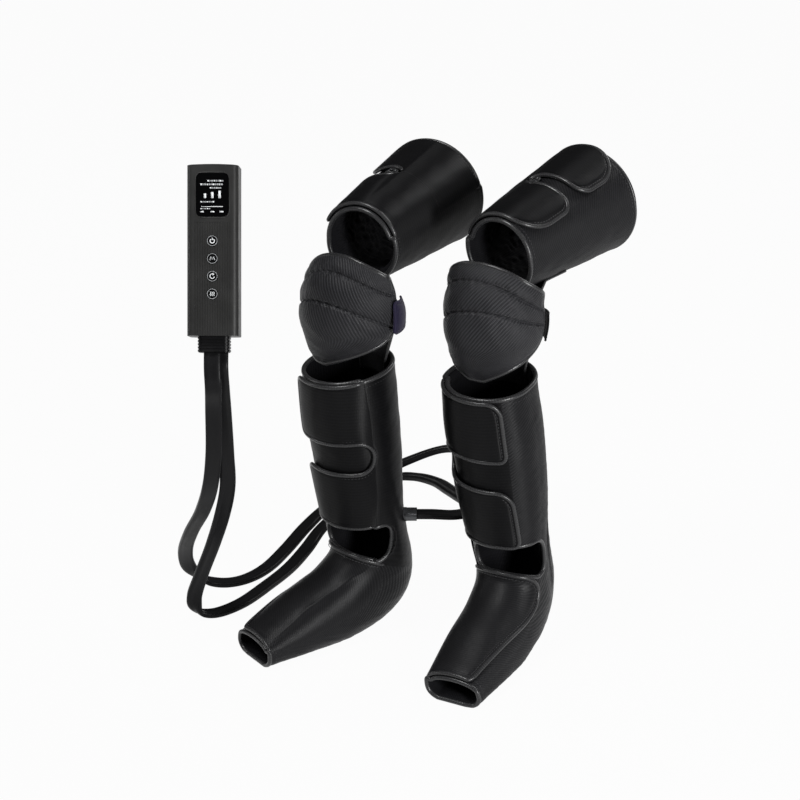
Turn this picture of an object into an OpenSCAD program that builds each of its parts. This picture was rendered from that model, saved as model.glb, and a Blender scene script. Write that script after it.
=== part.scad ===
// Air compression leg massager: a hand controller with the pump in it, two flat hoses,
// and a wrap for each leg of calf-and-foot boot, knee pad and thigh sleeve.
// +Z is up, the soles stand on z = 0, the wearer faces -Y. Millimetres and degrees.

/* [Calf and foot wrap] */
// Height of the calf rim above the floor
rim_h = 366; // [350:1:372]
// Height of the widest part of the calf
bulge_h = 290; // [275:1:305]
// Height of the lower shin
shin_h = 210; // [198:1:222]
// Height of the ankle
ankle_h = 135; // [126:1:142]
// Half width of the wrap at the rim
rim_half_w = 59; // [54:0.5:63]
// Half width at the widest part of the calf
bulge_half_w = 62; // [57:0.5:66]
// Half width at the ankle
ankle_half_w = 50; // [46:0.5:54]
// Half depth of the calf, front to back
calf_half_d = 58; // [54:0.5:62]
// Reach of the toe opening in front of the leg's axis
toe_reach = 168; // [155:1:180]
// Half width of the toe opening
toe_half_w = 40; // [36:0.5:44]
// Half height of the toe opening
toe_half_h = 20; // [17:0.5:23]
// Half width across the ball of the foot
ball_half_w = 46; // [42:0.5:50]
// Angle round the leg where the flaps are sewn on, medial side
root_angle = 160; // [154:1:166]
// Angle round the leg where the calf flaps end, lateral side
free_angle = 54; // [44:1:60]
// Lower edge of the upper calf flap
upper_flap_low = 287; // [281:1:292]
// Upper edge of the lower calf flap
lower_flap_high = 243; // [236:1:248]
// Lower edge of the lower calf flap
lower_flap_low = 166; // [162:1:172]

/* [Thigh wrap] */
// Length of the thigh wrap
thigh_len = 192; // [175:1:205]
// Outside radius at the knee end
thigh_knee_r = 51; // [49:0.5:53]
// Outside radius at the hip end
thigh_hip_r = 70; // [64:0.5:76]
// Height of the thigh wrap's axis at the knee end
thigh_h = 517; // [515:0.5:522]
// Length of the slot between the two thigh flaps
thigh_slot = 24; // [16:1:30]
// Angle round the thigh where the thigh flaps end, lateral side
thigh_free = 44; // [36:1:50]

/* [Knee pad] */
// Height of the pad's top edge
pad_top_h = 494; // [488:1:496]
// Height of the pad's lower tip
pad_tip_h = 373; // [370:1:382]
// Half width of the pad
pad_half_w = 66; // [62:0.5:69]
// How far the pad bulges forward
pad_bulge = 64; // [58:0.5:68]
// Width of the strap behind the knee
strap_w = 36; // [28:1:40]

/* [Fabric layers] */
// Thickness of the outer cover
cover_t = 3; // [2:0.1:3.5]
// Thickness of the inner lining
lining_t = 1.5; // [1:0.1:2.5]
// Thickness of an air bladder, half filled
bladder_t = 5.2; // [4:0.1:6]
// Thickness of a padded flap
flap_t = 5; // [4:0.1:6]
// Gap between layers of fabric
slip = 0.5; // [0.4:0.05:0.7]
// Lift of a flap off the cover below it
lift = 0.8; // [0.7:0.05:1]

/* [Controller] */
// Width of the controller
case_w = 60; // [56:0.5:66]
// Length of the controller
case_h = 200; // [182:1:215]
// Depth of the controller
case_d = 40; // [38:0.5:46]
// Corner radius of the case
case_r = 7; // [4:0.5:9]
// Wall thickness of the case
wall = 2.2; // [1.8:0.1:2.6]
// Width of the display window
window_w = 38.6; // [34:0.2:44]
// Height of the display window
window_h = 51.2; // [44:0.2:56]
// Middle of the window below the top of the case
window_down = 36; // [34:0.5:39]
// Diameter of a button
button_d = 12.5; // [10:0.1:13.5]
// Distance from one button to the next
button_pitch = 20.6; // [18.5:0.1:21.5]
// Top button above the middle of the case
button_up = 10.4; // [8:0.1:14]
// Travel of a button
button_travel = 1; // [0.6:0.1:1.4]
// Running clearance round a moving part
clearance = 0.25; // [0.15:0.05:0.4]
// Diameter of the pump motor
motor_d = 24; // [20:0.5:26]
// Diameter of a battery cell
cell_d = 18.4; // [14:0.1:19]

/* [Hoses] */
// Width of the flat hose
hose_w = 20; // [18:0.5:22]
// Thickness of the flat hose
hose_t = 8; // [7:0.5:9]
// Width of the ribbed collar on the hoses
collar_w = 37.4; // [34:0.2:42]
// Length of the ribbed collar
collar_h = 18.6; // [15:0.2:22]
// Depth of the plug's tongue in the socket
tongue_h = 12; // [9:0.5:14]

/* [Hidden] */
$fn = 48;

// The origin lies under the middle of the whole set, hoses left out
home = [59.5, -0.5, 0];
// ---- How each leg stands: side, foot x, foot y, toe out, lean at the rim, thigh yaw, thigh rise
LEG = [[-1, -104, -29, 19, 12, 7, 4], [1, 95, 29, 6, 26, 4, 7]];
RIGHT = 0;
LEFT = 1;

// ---- Sleeve stations: y, z, tilt of the section, half width, front, back, squareness front, back
// Tilt 0 is a level section of the calf, tilt 90 an upright section of the foot or thigh.
BOOT = [[-30, rim_h, -8, rim_half_w, calf_half_d, calf_half_d + 2, 2.1, 2.1],
  [-22, bulge_h, -7, bulge_half_w, calf_half_d, calf_half_d + 2, 2.1, 2.1],
  [-12, shin_h, -5, bulge_half_w - 4, calf_half_d - 5, calf_half_d - 2, 2.1, 2.1],
  [-5, ankle_h, 0, ankle_half_w, ankle_half_w - 3, ankle_half_w + 2, 2.1, 2.1],
  [-4, 82, 40, ankle_half_w - 4, ankle_half_w - 4, 74, 2.1, 2.6],
  [-45, 46, 78, ball_half_w + 1, ankle_half_w - 2, 51, 2.1, 2.8],
  [-105, 34, 84, ball_half_w, 35, 37, 2.1, 3],
  [-toe_reach, toe_half_h + 2, 88, toe_half_w, toe_half_h - 1, toe_half_h + 4, 2.1, 3]];
BOOT_LAST = len(BOOT) - 1;
THIGH = [[0, 0, 90, thigh_knee_r, thigh_knee_r, thigh_knee_r, 2, 2],
  [thigh_len / 2, 0, 90, (thigh_knee_r + thigh_hip_r) / 2 + 1, (thigh_knee_r + thigh_hip_r) / 2,
    (thigh_knee_r + thigh_hip_r) / 2, 2, 2],
  [thigh_len, 0, 90, thigh_hip_r, thigh_hip_r, thigh_hip_r, 2, 2]];
pad_y = -15;
pad_step = (pad_top_h - pad_tip_h) / 4;
PAD = [[pad_y + 2, pad_top_h, 35, pad_half_w - 6, pad_bulge - 26, 26, 2, 2],
  [pad_y, pad_top_h - pad_step, 12, pad_half_w, pad_bulge - 8, 42, 2, 2],
  [pad_y - 1, pad_top_h - 2 * pad_step, 0, pad_half_w, pad_bulge, 50, 2, 2],
  [pad_y - 1, pad_top_h - 3 * pad_step, 5, pad_half_w - 8, pad_bulge - 4, 48, 2, 2],
  [pad_y - 2, pad_tip_h, 8, pad_half_w - 18, pad_bulge - 12, 42, 2, 2]];

// ---- Offsets of the layers from the outermost surface
under_flap = -flap_t - lift;
cover_in = -cover_t;
bladder_out = cover_in - slip;
bladder_in = bladder_out - bladder_t;
lining_out = bladder_in - slip;
lining_in = lining_out - lining_t;

// ---- Points on the sleeves
function mix(a, b, t) = a + (b - a) * t;
function spline(a, b, c, d, t) =
  0.5 * (2 * b + (c - a) * t + (2 * a - 5 * b + 4 * c - d) * t * t
    + (3 * b - a - 3 * c + d) * t * t * t);
function station(rows, u) =
  let (last = len(rows) - 1,
    i = min(floor(u), last - 1),
    b = rows[i],
    c = rows[i + 1],
    a = i == 0 ? 2 * b - c : rows[i - 1],
    d = i == last - 1 ? 2 * c - b : rows[i + 2])
  spline(a, b, c, d, u - i);
// A point at angle th round the sleeve: 0 lateral, 90 front, 180 medial, 270 back
function on_sleeve(rows, u, th, off) =
  let (r = station(rows, u),
    e = sin(th) >= 0 ? r[6] : r[7],
    m = pow(pow(abs(cos(th)), e) + pow(abs(sin(th)), e), 1 / e),
    n = ((sin(th) >= 0 ? r[4] : r[5]) + off) * sin(th) / m)
  [(r[3] + off) * cos(th) / m, r[0] - n * cos(r[2]), r[1] + n * sin(r[2])];
// Where along a sleeve's front a height lies, found by halving
function boot_u(h, lo = 0, hi = 4, n = 12) =
  n == 0 ? (lo + hi) / 2
  : let (mid = (lo + hi) / 2) station(BOOT, mid)[1] > h ? boot_u(h, mid, hi, n - 1)
  : boot_u(h, lo, mid, n - 1);
function turn_z(p, a) = [p[0] * cos(a) - p[1] * sin(a), p[0] * sin(a) + p[1] * cos(a), p[2]];
function turn_x(p, a) = [p[0], p[1] * cos(a) - p[2] * sin(a), p[1] * sin(a) + p[2] * cos(a)];
function side(leg) = LEG[leg][0];
// From a leg's own frame, lateral +X, to where that leg stands
function stand(leg, p) =
  let (g = LEG[leg], q = turn_z([g[0] * p[0], p[1], p[2]], g[0] * g[3]))
  home + [q[0] + g[1] - g[0] * g[4] * min(p[2], rim_h) / rim_h, q[1] + g[2], q[2]];
function knee_centre(leg) = stand(leg, [0, -4, thigh_h]);
function on_thigh(leg, p) =
  let (g = LEG[leg]) knee_centre(leg)
    + turn_z(turn_x([g[0] * p[0], p[1], p[2]], g[6]), -g[0] * g[5]);
function boot_point(leg, u, th, off) =
  let (p = on_sleeve(BOOT, u, th, off)) stand(leg, [p[0], p[1], max(p[2], -off)]);
function thigh_point(leg, u, th, off) = on_thigh(leg, on_sleeve(THIGH, u, th, off));
function pad_point(leg, u, th, off) = stand(leg, on_sleeve(PAD, u, th, off));

// ---- A sheet between an outer and an inner grid of points. Cells where hole is true stay open.
module sheet(outer, inner, side, ring = false, hole = function(i, j) false) {
  rows = len(outer);
  cols = len(outer[0]);
  last = ring ? cols : cols - 1;
  function at(i, j, k) = k * rows * cols + i * cols + j % cols;
  function there(i, j) = i >= 0 && i < rows - 1 && (ring || (j >= 0 && j < last))
    && !hole(i, (j + last) % last);
  function face(a, b, c, d) = side > 0 ? [[c, b, a], [d, c, a]] : [[a, b, c], [a, c, d]];
  skins = [for (i = [0:rows - 2], j = [0:last - 1]) if (there(i, j))
    each concat(face(at(i, j, 0), at(i, j + 1, 0), at(i + 1, j + 1, 0), at(i + 1, j, 0)),
      face(at(i, j, 1), at(i + 1, j, 1), at(i + 1, j + 1, 1), at(i, j + 1, 1)))];
  edges = [for (i = [0:rows - 2], j = [0:last - 1]) if (there(i, j)) each concat(
    there(i - 1, j) ? [] : face(at(i, j, 1), at(i, j + 1, 1), at(i, j + 1, 0), at(i, j, 0)),
    there(i + 1, j) ? []
      : face(at(i + 1, j, 0), at(i + 1, j + 1, 0), at(i + 1, j + 1, 1), at(i + 1, j, 1)),
    there(i, j - 1) ? [] : face(at(i, j, 0), at(i + 1, j, 0), at(i + 1, j, 1), at(i, j, 1)),
    there(i, j + 1) ? []
      : face(at(i, j + 1, 1), at(i + 1, j + 1, 1), at(i + 1, j + 1, 0), at(i, j + 1, 0)))];
  polyhedron([for (g = [outer, inner], r = g, p = r) p], concat(skins, edges), convexity = 8);
}

// ---- Colours
FABRIC = "#1b1b1d";
LINING = "#2a2a2e";
AIR = "#5b6470";
PLASTIC = "#3a3a3c";

// ==== Leg wraps ====
// The cover is lower under the flaps, and rises to the outer surface where they are sewn on.
STEP_ANGLES = [for (a = [0:16:144]) a, root_angle - 0.7, root_angle + 0.7,
  for (a = [178:18:340]) a];
function cover_off(th) = th < root_angle ? under_flap
  : th < 290 ? 0
  : under_flap * (th - 290) / 70;
ankle_slot_high = boot_u(lower_flap_low - 8);
ankle_slot_low = 3.55;
foot_flap_top = 4.05;
foot_flap_toe = 6.85;
FOOT_ROWS = [foot_flap_top, 4.3, 4.6, 5, 5.5, 6, 6.5, foot_flap_toe];
BOOT_ROWS = [0, 0.5, 1, 1.5, 2, ankle_slot_high, (ankle_slot_high + ankle_slot_low) / 2,
  ankle_slot_low, 3.8, each FOOT_ROWS, BOOT_LAST];
first_slot_row = 5;
last_slot_row = 6;
slot_cols = 13;
in_slot = function(i, j) i >= first_slot_row && i <= last_slot_row && j < slot_cols;

module boot_cover(leg) {
  color(FABRIC) sheet(
    [for (u = BOOT_ROWS) [for (a = STEP_ANGLES) boot_point(leg, u, a, cover_off(a))]],
    [for (u = BOOT_ROWS) [for (a = STEP_ANGLES) boot_point(leg, u, a, cover_off(a) - cover_t)]],
    side(leg), true, in_slot);
}

module boot_lining(leg) {
  color(LINING) sheet(
    [for (u = BOOT_ROWS) [for (a = STEP_ANGLES) boot_point(leg, u, a, lining_out)]],
    [for (u = BOOT_ROWS) [for (a = STEP_ANGLES) boot_point(leg, u, a, lining_in)]],
    side(leg), true, in_slot);
}

module bladder(leg, rows, angles, thigh = false) {
  color(AIR) sheet(
    [for (u = rows) [for (a = angles)
      thigh ? thigh_point(leg, u, a, bladder_out) : boot_point(leg, u, a, bladder_out)]],
    [for (u = rows) [for (a = angles)
      thigh ? thigh_point(leg, u, a, bladder_in) : boot_point(leg, u, a, bladder_in)]],
    thigh ? -side(leg) : side(leg));
}
BLADDER_ANGLES = [for (a = [178:18:286]) a];
module calf_bladder(leg) bladder(leg, [0.5, 1, 1.5, 2], BLADDER_ANGLES);
module foot_bladder(leg) bladder(leg, [4.6, 5, 5.5, 6], [for (a = [196:18:286]) a]);
THIGH_ROWS = [for (k = [0:6]) k / 3];
module thigh_bladder(leg) bladder(leg, [for (k = [1:5]) THIGH_ROWS[k]], BLADDER_ANGLES, true);

// A flap runs from its sewn root round the front to its free end, with rounded corners.
// Its columns are the cover's own, squeezed together where the free end lies before them.
root_gap = 3;
// Past the slot's inner end the two thigh flaps lie edge to edge with a seam between them.
slot_end = 104;
thigh_seam = 1.2;
function drawn(u, th) = let (k = (1 - thigh_seam / thigh_len) / (1 - thigh_slot / thigh_len))
  th < slot_end ? u : u < 1 ? u * k : 2 - (2 - u) * k;
function flap_grid(leg, rows, free0, free1, cols, off, thigh) =
  let (last = len(rows) - 1)
  [for (i = [0:last]) [for (j = [0:cols])
    let (s = (rows[i] - rows[0]) / (rows[last] - rows[0]),
      blunt = max(0, abs(2 * s - 1) - 0.5) * 2,
      free = mix(free0, free1, s) + 14 * blunt * blunt,
      th = j == 0 ? root_angle - root_gap
        : j == cols ? free : max(160 - 16 * j, free + 1.5 * (cols - j)))
    thigh ? thigh_point(leg, drawn(rows[i], th), th, off) : boot_point(leg, rows[i], th, off)]];
module flap(leg, rows, free0, free1, cols = 8, thigh = false) {
  color(FABRIC) sheet(
    flap_grid(leg, rows, free0, free1, cols, 0, thigh),
    flap_grid(leg, rows, free0, free1, cols, -flap_t, thigh),
    thigh ? -side(leg) : side(leg));
}
function spread(from, to, n) = [for (k = [0:n]) mix(from, to, k / n)];
module calf_upper_flap(leg)
  flap(leg, spread(boot_u(upper_flap_low), 0.02, 4), free_angle, free_angle);
module calf_lower_flap(leg)
  flap(leg, spread(boot_u(lower_flap_low), boot_u(lower_flap_high), 4), free_angle - 6, free_angle);
module foot_flap(leg)
  flap(leg, [for (k = [len(FOOT_ROWS) - 1:-1:0]) FOOT_ROWS[k]], 50, 2, 10);
slot_u = thigh_slot / thigh_len;
module thigh_lower_flap(leg)
  flap(leg, spread(1 - slot_u, 0.03, 4), thigh_free - 6, thigh_free - (leg == RIGHT ? 20 : 10), 10, true);
module thigh_upper_flap(leg)
  flap(leg, spread(1.9, 1 + slot_u, 4), thigh_free, thigh_free, 8, true);

module thigh_cover(leg) {
  rows = THIGH_ROWS;
  color(FABRIC) sheet(
    [for (u = rows) [for (a = STEP_ANGLES) thigh_point(leg, u, a, cover_off(a))]],
    [for (u = rows) [for (a = STEP_ANGLES) thigh_point(leg, u, a, cover_off(a) - cover_t)]],
    -side(leg), true);
}
module thigh_lining(leg) {
  rows = THIGH_ROWS;
  color(LINING) sheet(
    [for (u = rows) [for (a = STEP_ANGLES) thigh_point(leg, u, a, lining_out)]],
    [for (u = rows) [for (a = STEP_ANGLES) thigh_point(leg, u, a, lining_in)]],
    -side(leg), true);
}

// ---- Knee pad: cup of fabric, heating film and lining, with a strap behind the knee
pad_cup_t = 4;
heater_t = 0.8;
pad_cols = 12;
pad_rows = 8;
pad_from = -14;
pad_to = 206;
tip_from = 78;
tip_to = 102;
straight_u = 2.4;
// The pad's side edges run straight down, then slant together to the rounded tip.
function slant(u) = pow(max(0, u - straight_u) / (4 - straight_u), 1.15);
function pad_angle(u, t) = mix(mix(pad_from, tip_from, slant(u)), mix(pad_to, tip_to, slant(u)), t);
// A layer of the pad that leaves the same margin of rows and columns free on every side
module pad_layer(leg, margin, out, in) {
  rows = [for (k = [margin:pad_rows - margin]) 4 * k / pad_rows];
  parts = [for (k = [margin:pad_cols - margin]) k / pad_cols];
  sheet([for (u = rows) [for (t = parts) pad_point(leg, u, pad_angle(u, t), out)]],
    [for (u = rows) [for (t = parts) pad_point(leg, u, pad_angle(u, t), in)]], side(leg));
}
module knee_pad(leg) color(FABRIC) pad_layer(leg, 0, 0, -pad_cup_t);
module knee_heater(leg)
  color("#7a4a3a") pad_layer(leg, 2, -pad_cup_t - slip, -pad_cup_t - slip - heater_t);
module knee_lining(leg)
  color(LINING) pad_layer(leg, 0, -pad_cup_t - 2 * slip - heater_t,
    -pad_cup_t - 2 * slip - heater_t - lining_t);
strap_mid_u = 1.9;
strap_half_u = strap_w / 2 / pad_step;
strap_t = 2.5;
module strap_part(leg, from, to, cols, out, half) {
  rows = spread(strap_mid_u - half, strap_mid_u + half, 4);
  color("#202022") sheet(
    [for (u = rows) [for (k = [0:cols]) pad_point(leg, u, mix(from, to, k / cols), out)]],
    [for (u = rows) [for (k = [0:cols]) pad_point(leg, u, mix(from, to, k / cols), out - strap_t)]],
    side(leg));
}
strap_end = 343;
module knee_strap(leg) strap_part(leg, pad_to + 3, strap_end, 10, 0, strap_half_u);
module strap_tab(leg)
  color("#2b2350")
    strap_part(leg, pad_to - 18, pad_to + 26, 4, strap_t + lift, strap_half_u + 0.15);

// ---- Link of fabric behind the knee, sewn inside the calf's back and under the thigh wrap.
// On its way up it lies against the inner side of the knee strap.
LINK_ANGLES = [for (a = [232:18:304]) a];
link_t = 2.5;
function link_on_boot(leg, u, a, depth) = boot_point(leg, u, a, lining_in - slip - depth);
function link_on_strap(leg, u, a, depth) = pad_point(leg, u, a, -strap_t - lift - depth);
function link_on_thigh(leg, u, a, depth) = thigh_point(leg, u, a, slip + link_t - depth);
function link_face(leg, depth) = [
  [for (a = LINK_ANGLES) link_on_boot(leg, 0.35, a, depth)],
  [for (a = LINK_ANGLES) link_on_boot(leg, 0.02, a, depth)],
  [for (a = LINK_ANGLES) link_on_strap(leg, strap_mid_u + strap_half_u, a, depth)],
  [for (a = LINK_ANGLES) link_on_strap(leg, strap_mid_u, a, depth)],
  [for (a = LINK_ANGLES) link_on_strap(leg, strap_mid_u - strap_half_u - 0.05, a, depth)],
  [for (a = LINK_ANGLES) link_on_thigh(leg, 0.45, a, depth)],
  [for (a = LINK_ANGLES) link_on_thigh(leg, 0.85, a, depth)]];
module back_link(leg)
  color(FABRIC) sheet(link_face(leg, 0), link_face(leg, link_t), -side(leg));

// ---- Air port: a grommet on the cover and a sleeve that takes the flat hose
port_angle = 232;
port_h = 157;
port_reach = 57;
port_sleeve = 16;
port_wall = 2;
function leg_axis(leg) = stand(leg, [0, -8, port_h]);
function port_heading(leg) =
  let (g = LEG[leg]) atan2(-sin(port_angle), g[0] * cos(port_angle)) + g[0] * g[3];
function port_out(leg, reach) =
  leg_axis(leg) + reach * [cos(port_heading(leg)), sin(port_heading(leg)), 0];
module at_port(leg)
  translate(leg_axis(leg)) rotate([0, 0, port_heading(leg)]) rotate([0, 90, 0]) children();
module oval(w, t) {
  square([t, w - t], center = true);
  for (e = [-1, 1]) translate([0, e * (w - t) / 2]) circle(d = t);
}
module air_port(leg) {
  color("#8d9096") at_port(leg) difference() {
    union() {
      translate([0, 0, port_reach - cover_t]) cylinder(r = 9, h = cover_t + 3);
      translate([0, 0, port_reach + 2]) linear_extrude(port_sleeve - 2)
        oval(hose_w + 2 * port_wall, hose_t + 2 * port_wall);
    }
    translate([0, 0, port_reach - cover_t - 1]) cylinder(r = 2.5, h = port_sleeve);
    translate([0, 0, port_reach + port_sleeve - 4]) linear_extrude(5)
      oval(hose_w - 4, hose_t - 4);
  }
}

// ==== Controller: face towards -Y at y = 0, length along Z, tilted back and turned ====
ctl_at = home + [-201, -176, 528];
ctl_tilt = -24;
ctl_turn = 33.5;
function ctl_point(p) = turn_z(turn_x(p, ctl_tilt), ctl_turn) + ctl_at;
module at_controller() translate(ctl_at) rotate([ctl_tilt, 0, ctl_turn]) children();
split_y = case_d / 2;
top = case_h / 2;
ctl_mid_y = case_d / 2;
window_up = top - window_down;
face_r = case_r - wall;
screw_x = case_w / 2 - 6;
screw_z = top - 12;
post_r = 2.9;
board_y = wall + 4.6;
board_t = 1.6;
board_top = top - 20;
board_low = -top + 34;
board_screw_x = 21;
board_screw_z = [window_up - 34, board_low + 4];
lens_lip = 1.5;
button_z = [for (k = [0:3]) button_up - k * button_pitch];
stem_gap = 0.15;

module rounded(w, d, r) {
  translate([-w / 2 + r, 0]) square([w - 2 * r, d]);
  translate([-w / 2, r]) square([w, d - 2 * r]);
  for (x = [-1, 1], y = [r, d - r]) translate([x * (w / 2 - r), y]) circle(r);
}
// An upright round bar along the depth of the case, from y0 to y1
module along_y(r, y0, y1) translate([0, y0, 0]) rotate([-90, 0, 0]) cylinder(r = r, h = y1 - y0);
// Radius of the slightly domed end
dome_r = case_w * 20 / 3;
module case_hollow() difference() {
  intersection() {
    translate([0, 0, -top]) linear_extrude(case_h) rounded(case_w, case_d, case_r);
    translate([0, 0, top - dome_r]) along_y(dome_r, -1, case_d + 1);
  }
  translate([0, wall, -top + wall]) linear_extrude(case_h - 2 * wall - 1)
    rounded(case_w - 2 * wall, case_d - 2 * wall, face_r);
}
module plug_hole(gap) translate([0, ctl_mid_y, -top - 1]) linear_extrude(wall + 2)
  rotate(90) oval(tongue_w + 2 * gap, tongue_d + 2 * gap);
module window(w, h, y0, y1)
  translate([0, y1, window_up]) rotate([90, 0, 0]) linear_extrude(y1 - y0)
    translate([0, -h / 2]) rounded(w, h, 5);
flute_pitch = 2.9;
flute_d = 0.5;
flute_w = 1.1;
flutes = floor((case_w / 2 - case_r) / flute_pitch);

module controller_front_shell() {
  color(PLASTIC) at_controller() difference() {
    union() {
      intersection() {
        case_hollow();
        translate([-case_w, -1, -case_h]) cube([2 * case_w, split_y + 1, 2 * case_h]);
      }
      for (x = [-1, 1], z = [-1, 1]) translate([x * screw_x, 0, z * screw_z])
        along_y(post_r, wall - 0.2, split_y);
      for (x = [-1, 1], z = board_screw_z) translate([x * board_screw_x, 0, z])
        along_y(2.4, wall - 0.2, board_y);
    }
    for (x = [-1, 1], z = [-1, 1]) translate([x * screw_x, 0, z * screw_z])
      along_y(1, wall + 2, split_y + 1);
    for (x = [-1, 1], z = board_screw_z) translate([x * board_screw_x, 0, z])
      along_y(0.8, wall + 0.5, board_y + 1);
    window(window_w, window_h, -1, wall + 1);
    for (z = button_z) translate([0, 0, z]) along_y(button_d / 2 + clearance, -1, wall + 1);
    for (k = [-flutes:flutes])
      translate([k * flute_pitch - flute_w / 2, -1, -top - 1])
        cube([flute_w, 1 + flute_d, window_up - window_h / 2 - 6 + top + 1]);
    plug_hole(clearance);
  }
}
cell_len = 65;
cell_top_gap = 9.5;
cell_z = top - cell_top_gap - cell_len / 2;
pump_h = 34;
pump_gap = 5.5;
pump_z = cell_z - cell_len / 2 - pump_gap - pump_h;
pump_head_w = 26;
pump_y = board_y + board_t + 0.8 + pump_head_w / 2;
cell_y = board_y + board_t + 1 + cell_d / 2;
cradle_t = 2;
module cradle(z) translate([-case_w / 2 + wall, split_y, z - cradle_t / 2])
  cube([case_w - 2 * wall, case_d - split_y - wall + 0.2, cradle_t]);
module controller_back_shell() {
  color(PLASTIC) at_controller() difference() {
    union() {
      intersection() {
        case_hollow();
        translate([-case_w, split_y, -case_h]) cube([2 * case_w, case_d, 2 * case_h]);
      }
      cradle(pump_z + 6);
      cradle(pump_z + 26);
      cradle(cell_z - 22);
      cradle(cell_z + 22);
      for (x = [-1, 1], z = [-1, 1]) translate([x * screw_x, 0, z * screw_z])
        along_y(post_r, split_y, case_d - wall + 0.2);
    }
    translate([0, pump_y, pump_z - 8]) cylinder(d = motor_d + 0.6, h = 40);
    for (x = [-1, 1]) translate([x * cell_x, cell_y, cell_z - 40])
      cylinder(d = cell_d + 0.6, h = 80);
    for (x = [-1, 1], z = [-1, 1]) translate([x * screw_x, 0, z * screw_z]) {
      along_y(1.3, split_y - 1, case_d + 1);
      along_y(2.2, case_d - 4, case_d + 1);
    }
    plug_hole(clearance);
    charge_mouth(0.2, wall + 1);
  }
}
module display_window()
  color("#050506") at_controller() union() {
    window(window_w - 2 * clearance, window_h - 2 * clearance, 0.4, wall + 0.1);
    window(window_w + 2 * lens_lip, window_h + 2 * lens_lip, wall + 0.1, wall + 1.2);
  }
module display_module()
  color("#101418") at_controller() union() {
    window(window_w - 3, window_h - 4, wall + 1.5, board_y - 0.3);
    translate([-8, wall + 2, window_up - window_h / 2 - 6]) cube([16, 1, 8.5]);
  }
module button(k) {
  color("#b9b9bb") at_controller() translate([0, 0, button_z[k]]) {
    difference() {
      along_y(button_d / 2, -0.5, wall + 0.1);
      difference() {
        along_y(button_d / 2 - 0.9, -1, -0.2);
        along_y(button_d / 2 - 2.4, -1, 0);
      }
    }
    along_y(button_d / 2 + 1.3, wall + 0.1, wall + 0.9);
    along_y(1.8, wall + 0.5, board_y - switch_t - button_travel - stem_gap);
  }
}
switch_t = 1.5;
module main_board() {
  color("#1f4d33") at_controller() difference() {
    union() {
      translate([-board_screw_x - 4, board_y, board_low])
        cube([2 * board_screw_x + 8, board_t, board_top - board_low]);
      for (z = button_z) translate([0, 0, z]) along_y(2.6, board_y - switch_t, board_y + 0.1);
      translate([-17, board_y - 1, window_up - 38]) cube([10, 1.1, 10]);
    }
    for (x = [-1, 1], z = board_screw_z) translate([x * board_screw_x, 0, z])
      along_y(1.2, 0, case_d);
  }
}
module air_pump() {
  color("#9a9da3") at_controller() translate([0, pump_y, pump_z]) union() {
    cylinder(d = motor_d, h = pump_h - 2);
    translate([0, 0, pump_h - 2.1]) cylinder(d = 8, h = 2);
    translate([-pump_head_w / 2, -pump_head_w / 2 + 0.4, -28])
      cube([pump_head_w, pump_head_w - 0.8, 28.1]);
    translate([0, 0, -31]) cylinder(d = 16, h = 3.1);
  }
}
socket_top = -top + tongue_h + 5;
tongue_w = 30;
tongue_d = 14;
spigot_x = 7.5;
spigot_r = 2.4;
valve_h = pump_z - 31 - socket_top - 5;
module air_valves()
  color("#6c6f75") at_controller() for (x = [-1, 1]) translate([x * 9, ctl_mid_y, 0]) union() {
    translate([-7, -8, socket_top + 0.2]) cube([14, 17, valve_h]);
    translate([-x * 4, 2, socket_top + valve_h]) cylinder(r = 2, h = 4.9);
  }
module hose_socket() {
  color("#2c2c2e") at_controller() difference() {
    union() {
      difference() {
        translate([-19, ctl_mid_y - 11, -top + wall + 0.1])
          cube([38, 22, socket_top + top - wall - 0.1]);
        translate([0, ctl_mid_y, -top]) linear_extrude(tongue_h + 0.5)
          rotate(90) oval(tongue_w + 2 * clearance, tongue_d + 2 * clearance);
      }
      for (x = [-1, 1]) translate([x * spigot_x, ctl_mid_y, -top + 3])
        cylinder(r = spigot_r, h = tongue_h);
    }
    for (x = [-1, 1]) translate([x * spigot_x, ctl_mid_y, -top]) cylinder(r = 1.2, h = 40);
  }
}
module hose_plug() {
  rib_pitch = collar_h / 5;
  color("#262628") at_controller() translate([0, ctl_mid_y, 0]) difference() {
    union() {
      translate([0, -12, -top - collar_h - 0.2]) linear_extrude(collar_h)
        translate([0, 0.8]) rounded(collar_w - 1.6, 22.4, 5);
      for (k = [0:4]) translate([0, -12, -top - 0.2 - collar_h + k * rib_pitch + 0.9])
        linear_extrude(rib_pitch - 1.6) rounded(collar_w, 24, 5.5);
      translate([0, 0, -top - 0.3]) linear_extrude(tongue_h + 0.3)
        rotate(90) oval(tongue_w, tongue_d);
    }
    for (x = [-1, 1]) translate([x * spigot_x, 0, -top + 1])
      cylinder(r = spigot_r + clearance, h = tongue_h);
  }
}
cell_x = cell_d / 2 + 0.2;
module battery_pack()
  color("#3f6ea8") at_controller() union() {
    for (x = [-1, 1]) translate([x * cell_x, cell_y, cell_z - cell_len / 2])
      cylinder(d = cell_d, h = cell_len);
    translate([-6, cell_y - 5, cell_z - cell_len / 2 + 1])
      cube([12, split_y - cell_y + 4.7, cell_len - 2]);
  }
charge_z = -top + 22;
charge_y = split_y + 9;
module charge_mouth(gap, depth) translate([-case_w / 2 - 1, charge_y, charge_z])
  rotate([0, 90, 0]) linear_extrude(depth + 1) oval_z(8.9 + 2 * gap, 3.2 + 2 * gap);
module oval_z(w, t) {
  square([w - t, t], center = true);
  for (e = [-1, 1]) translate([e * (w - t) / 2, 0]) circle(d = t);
}
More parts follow.
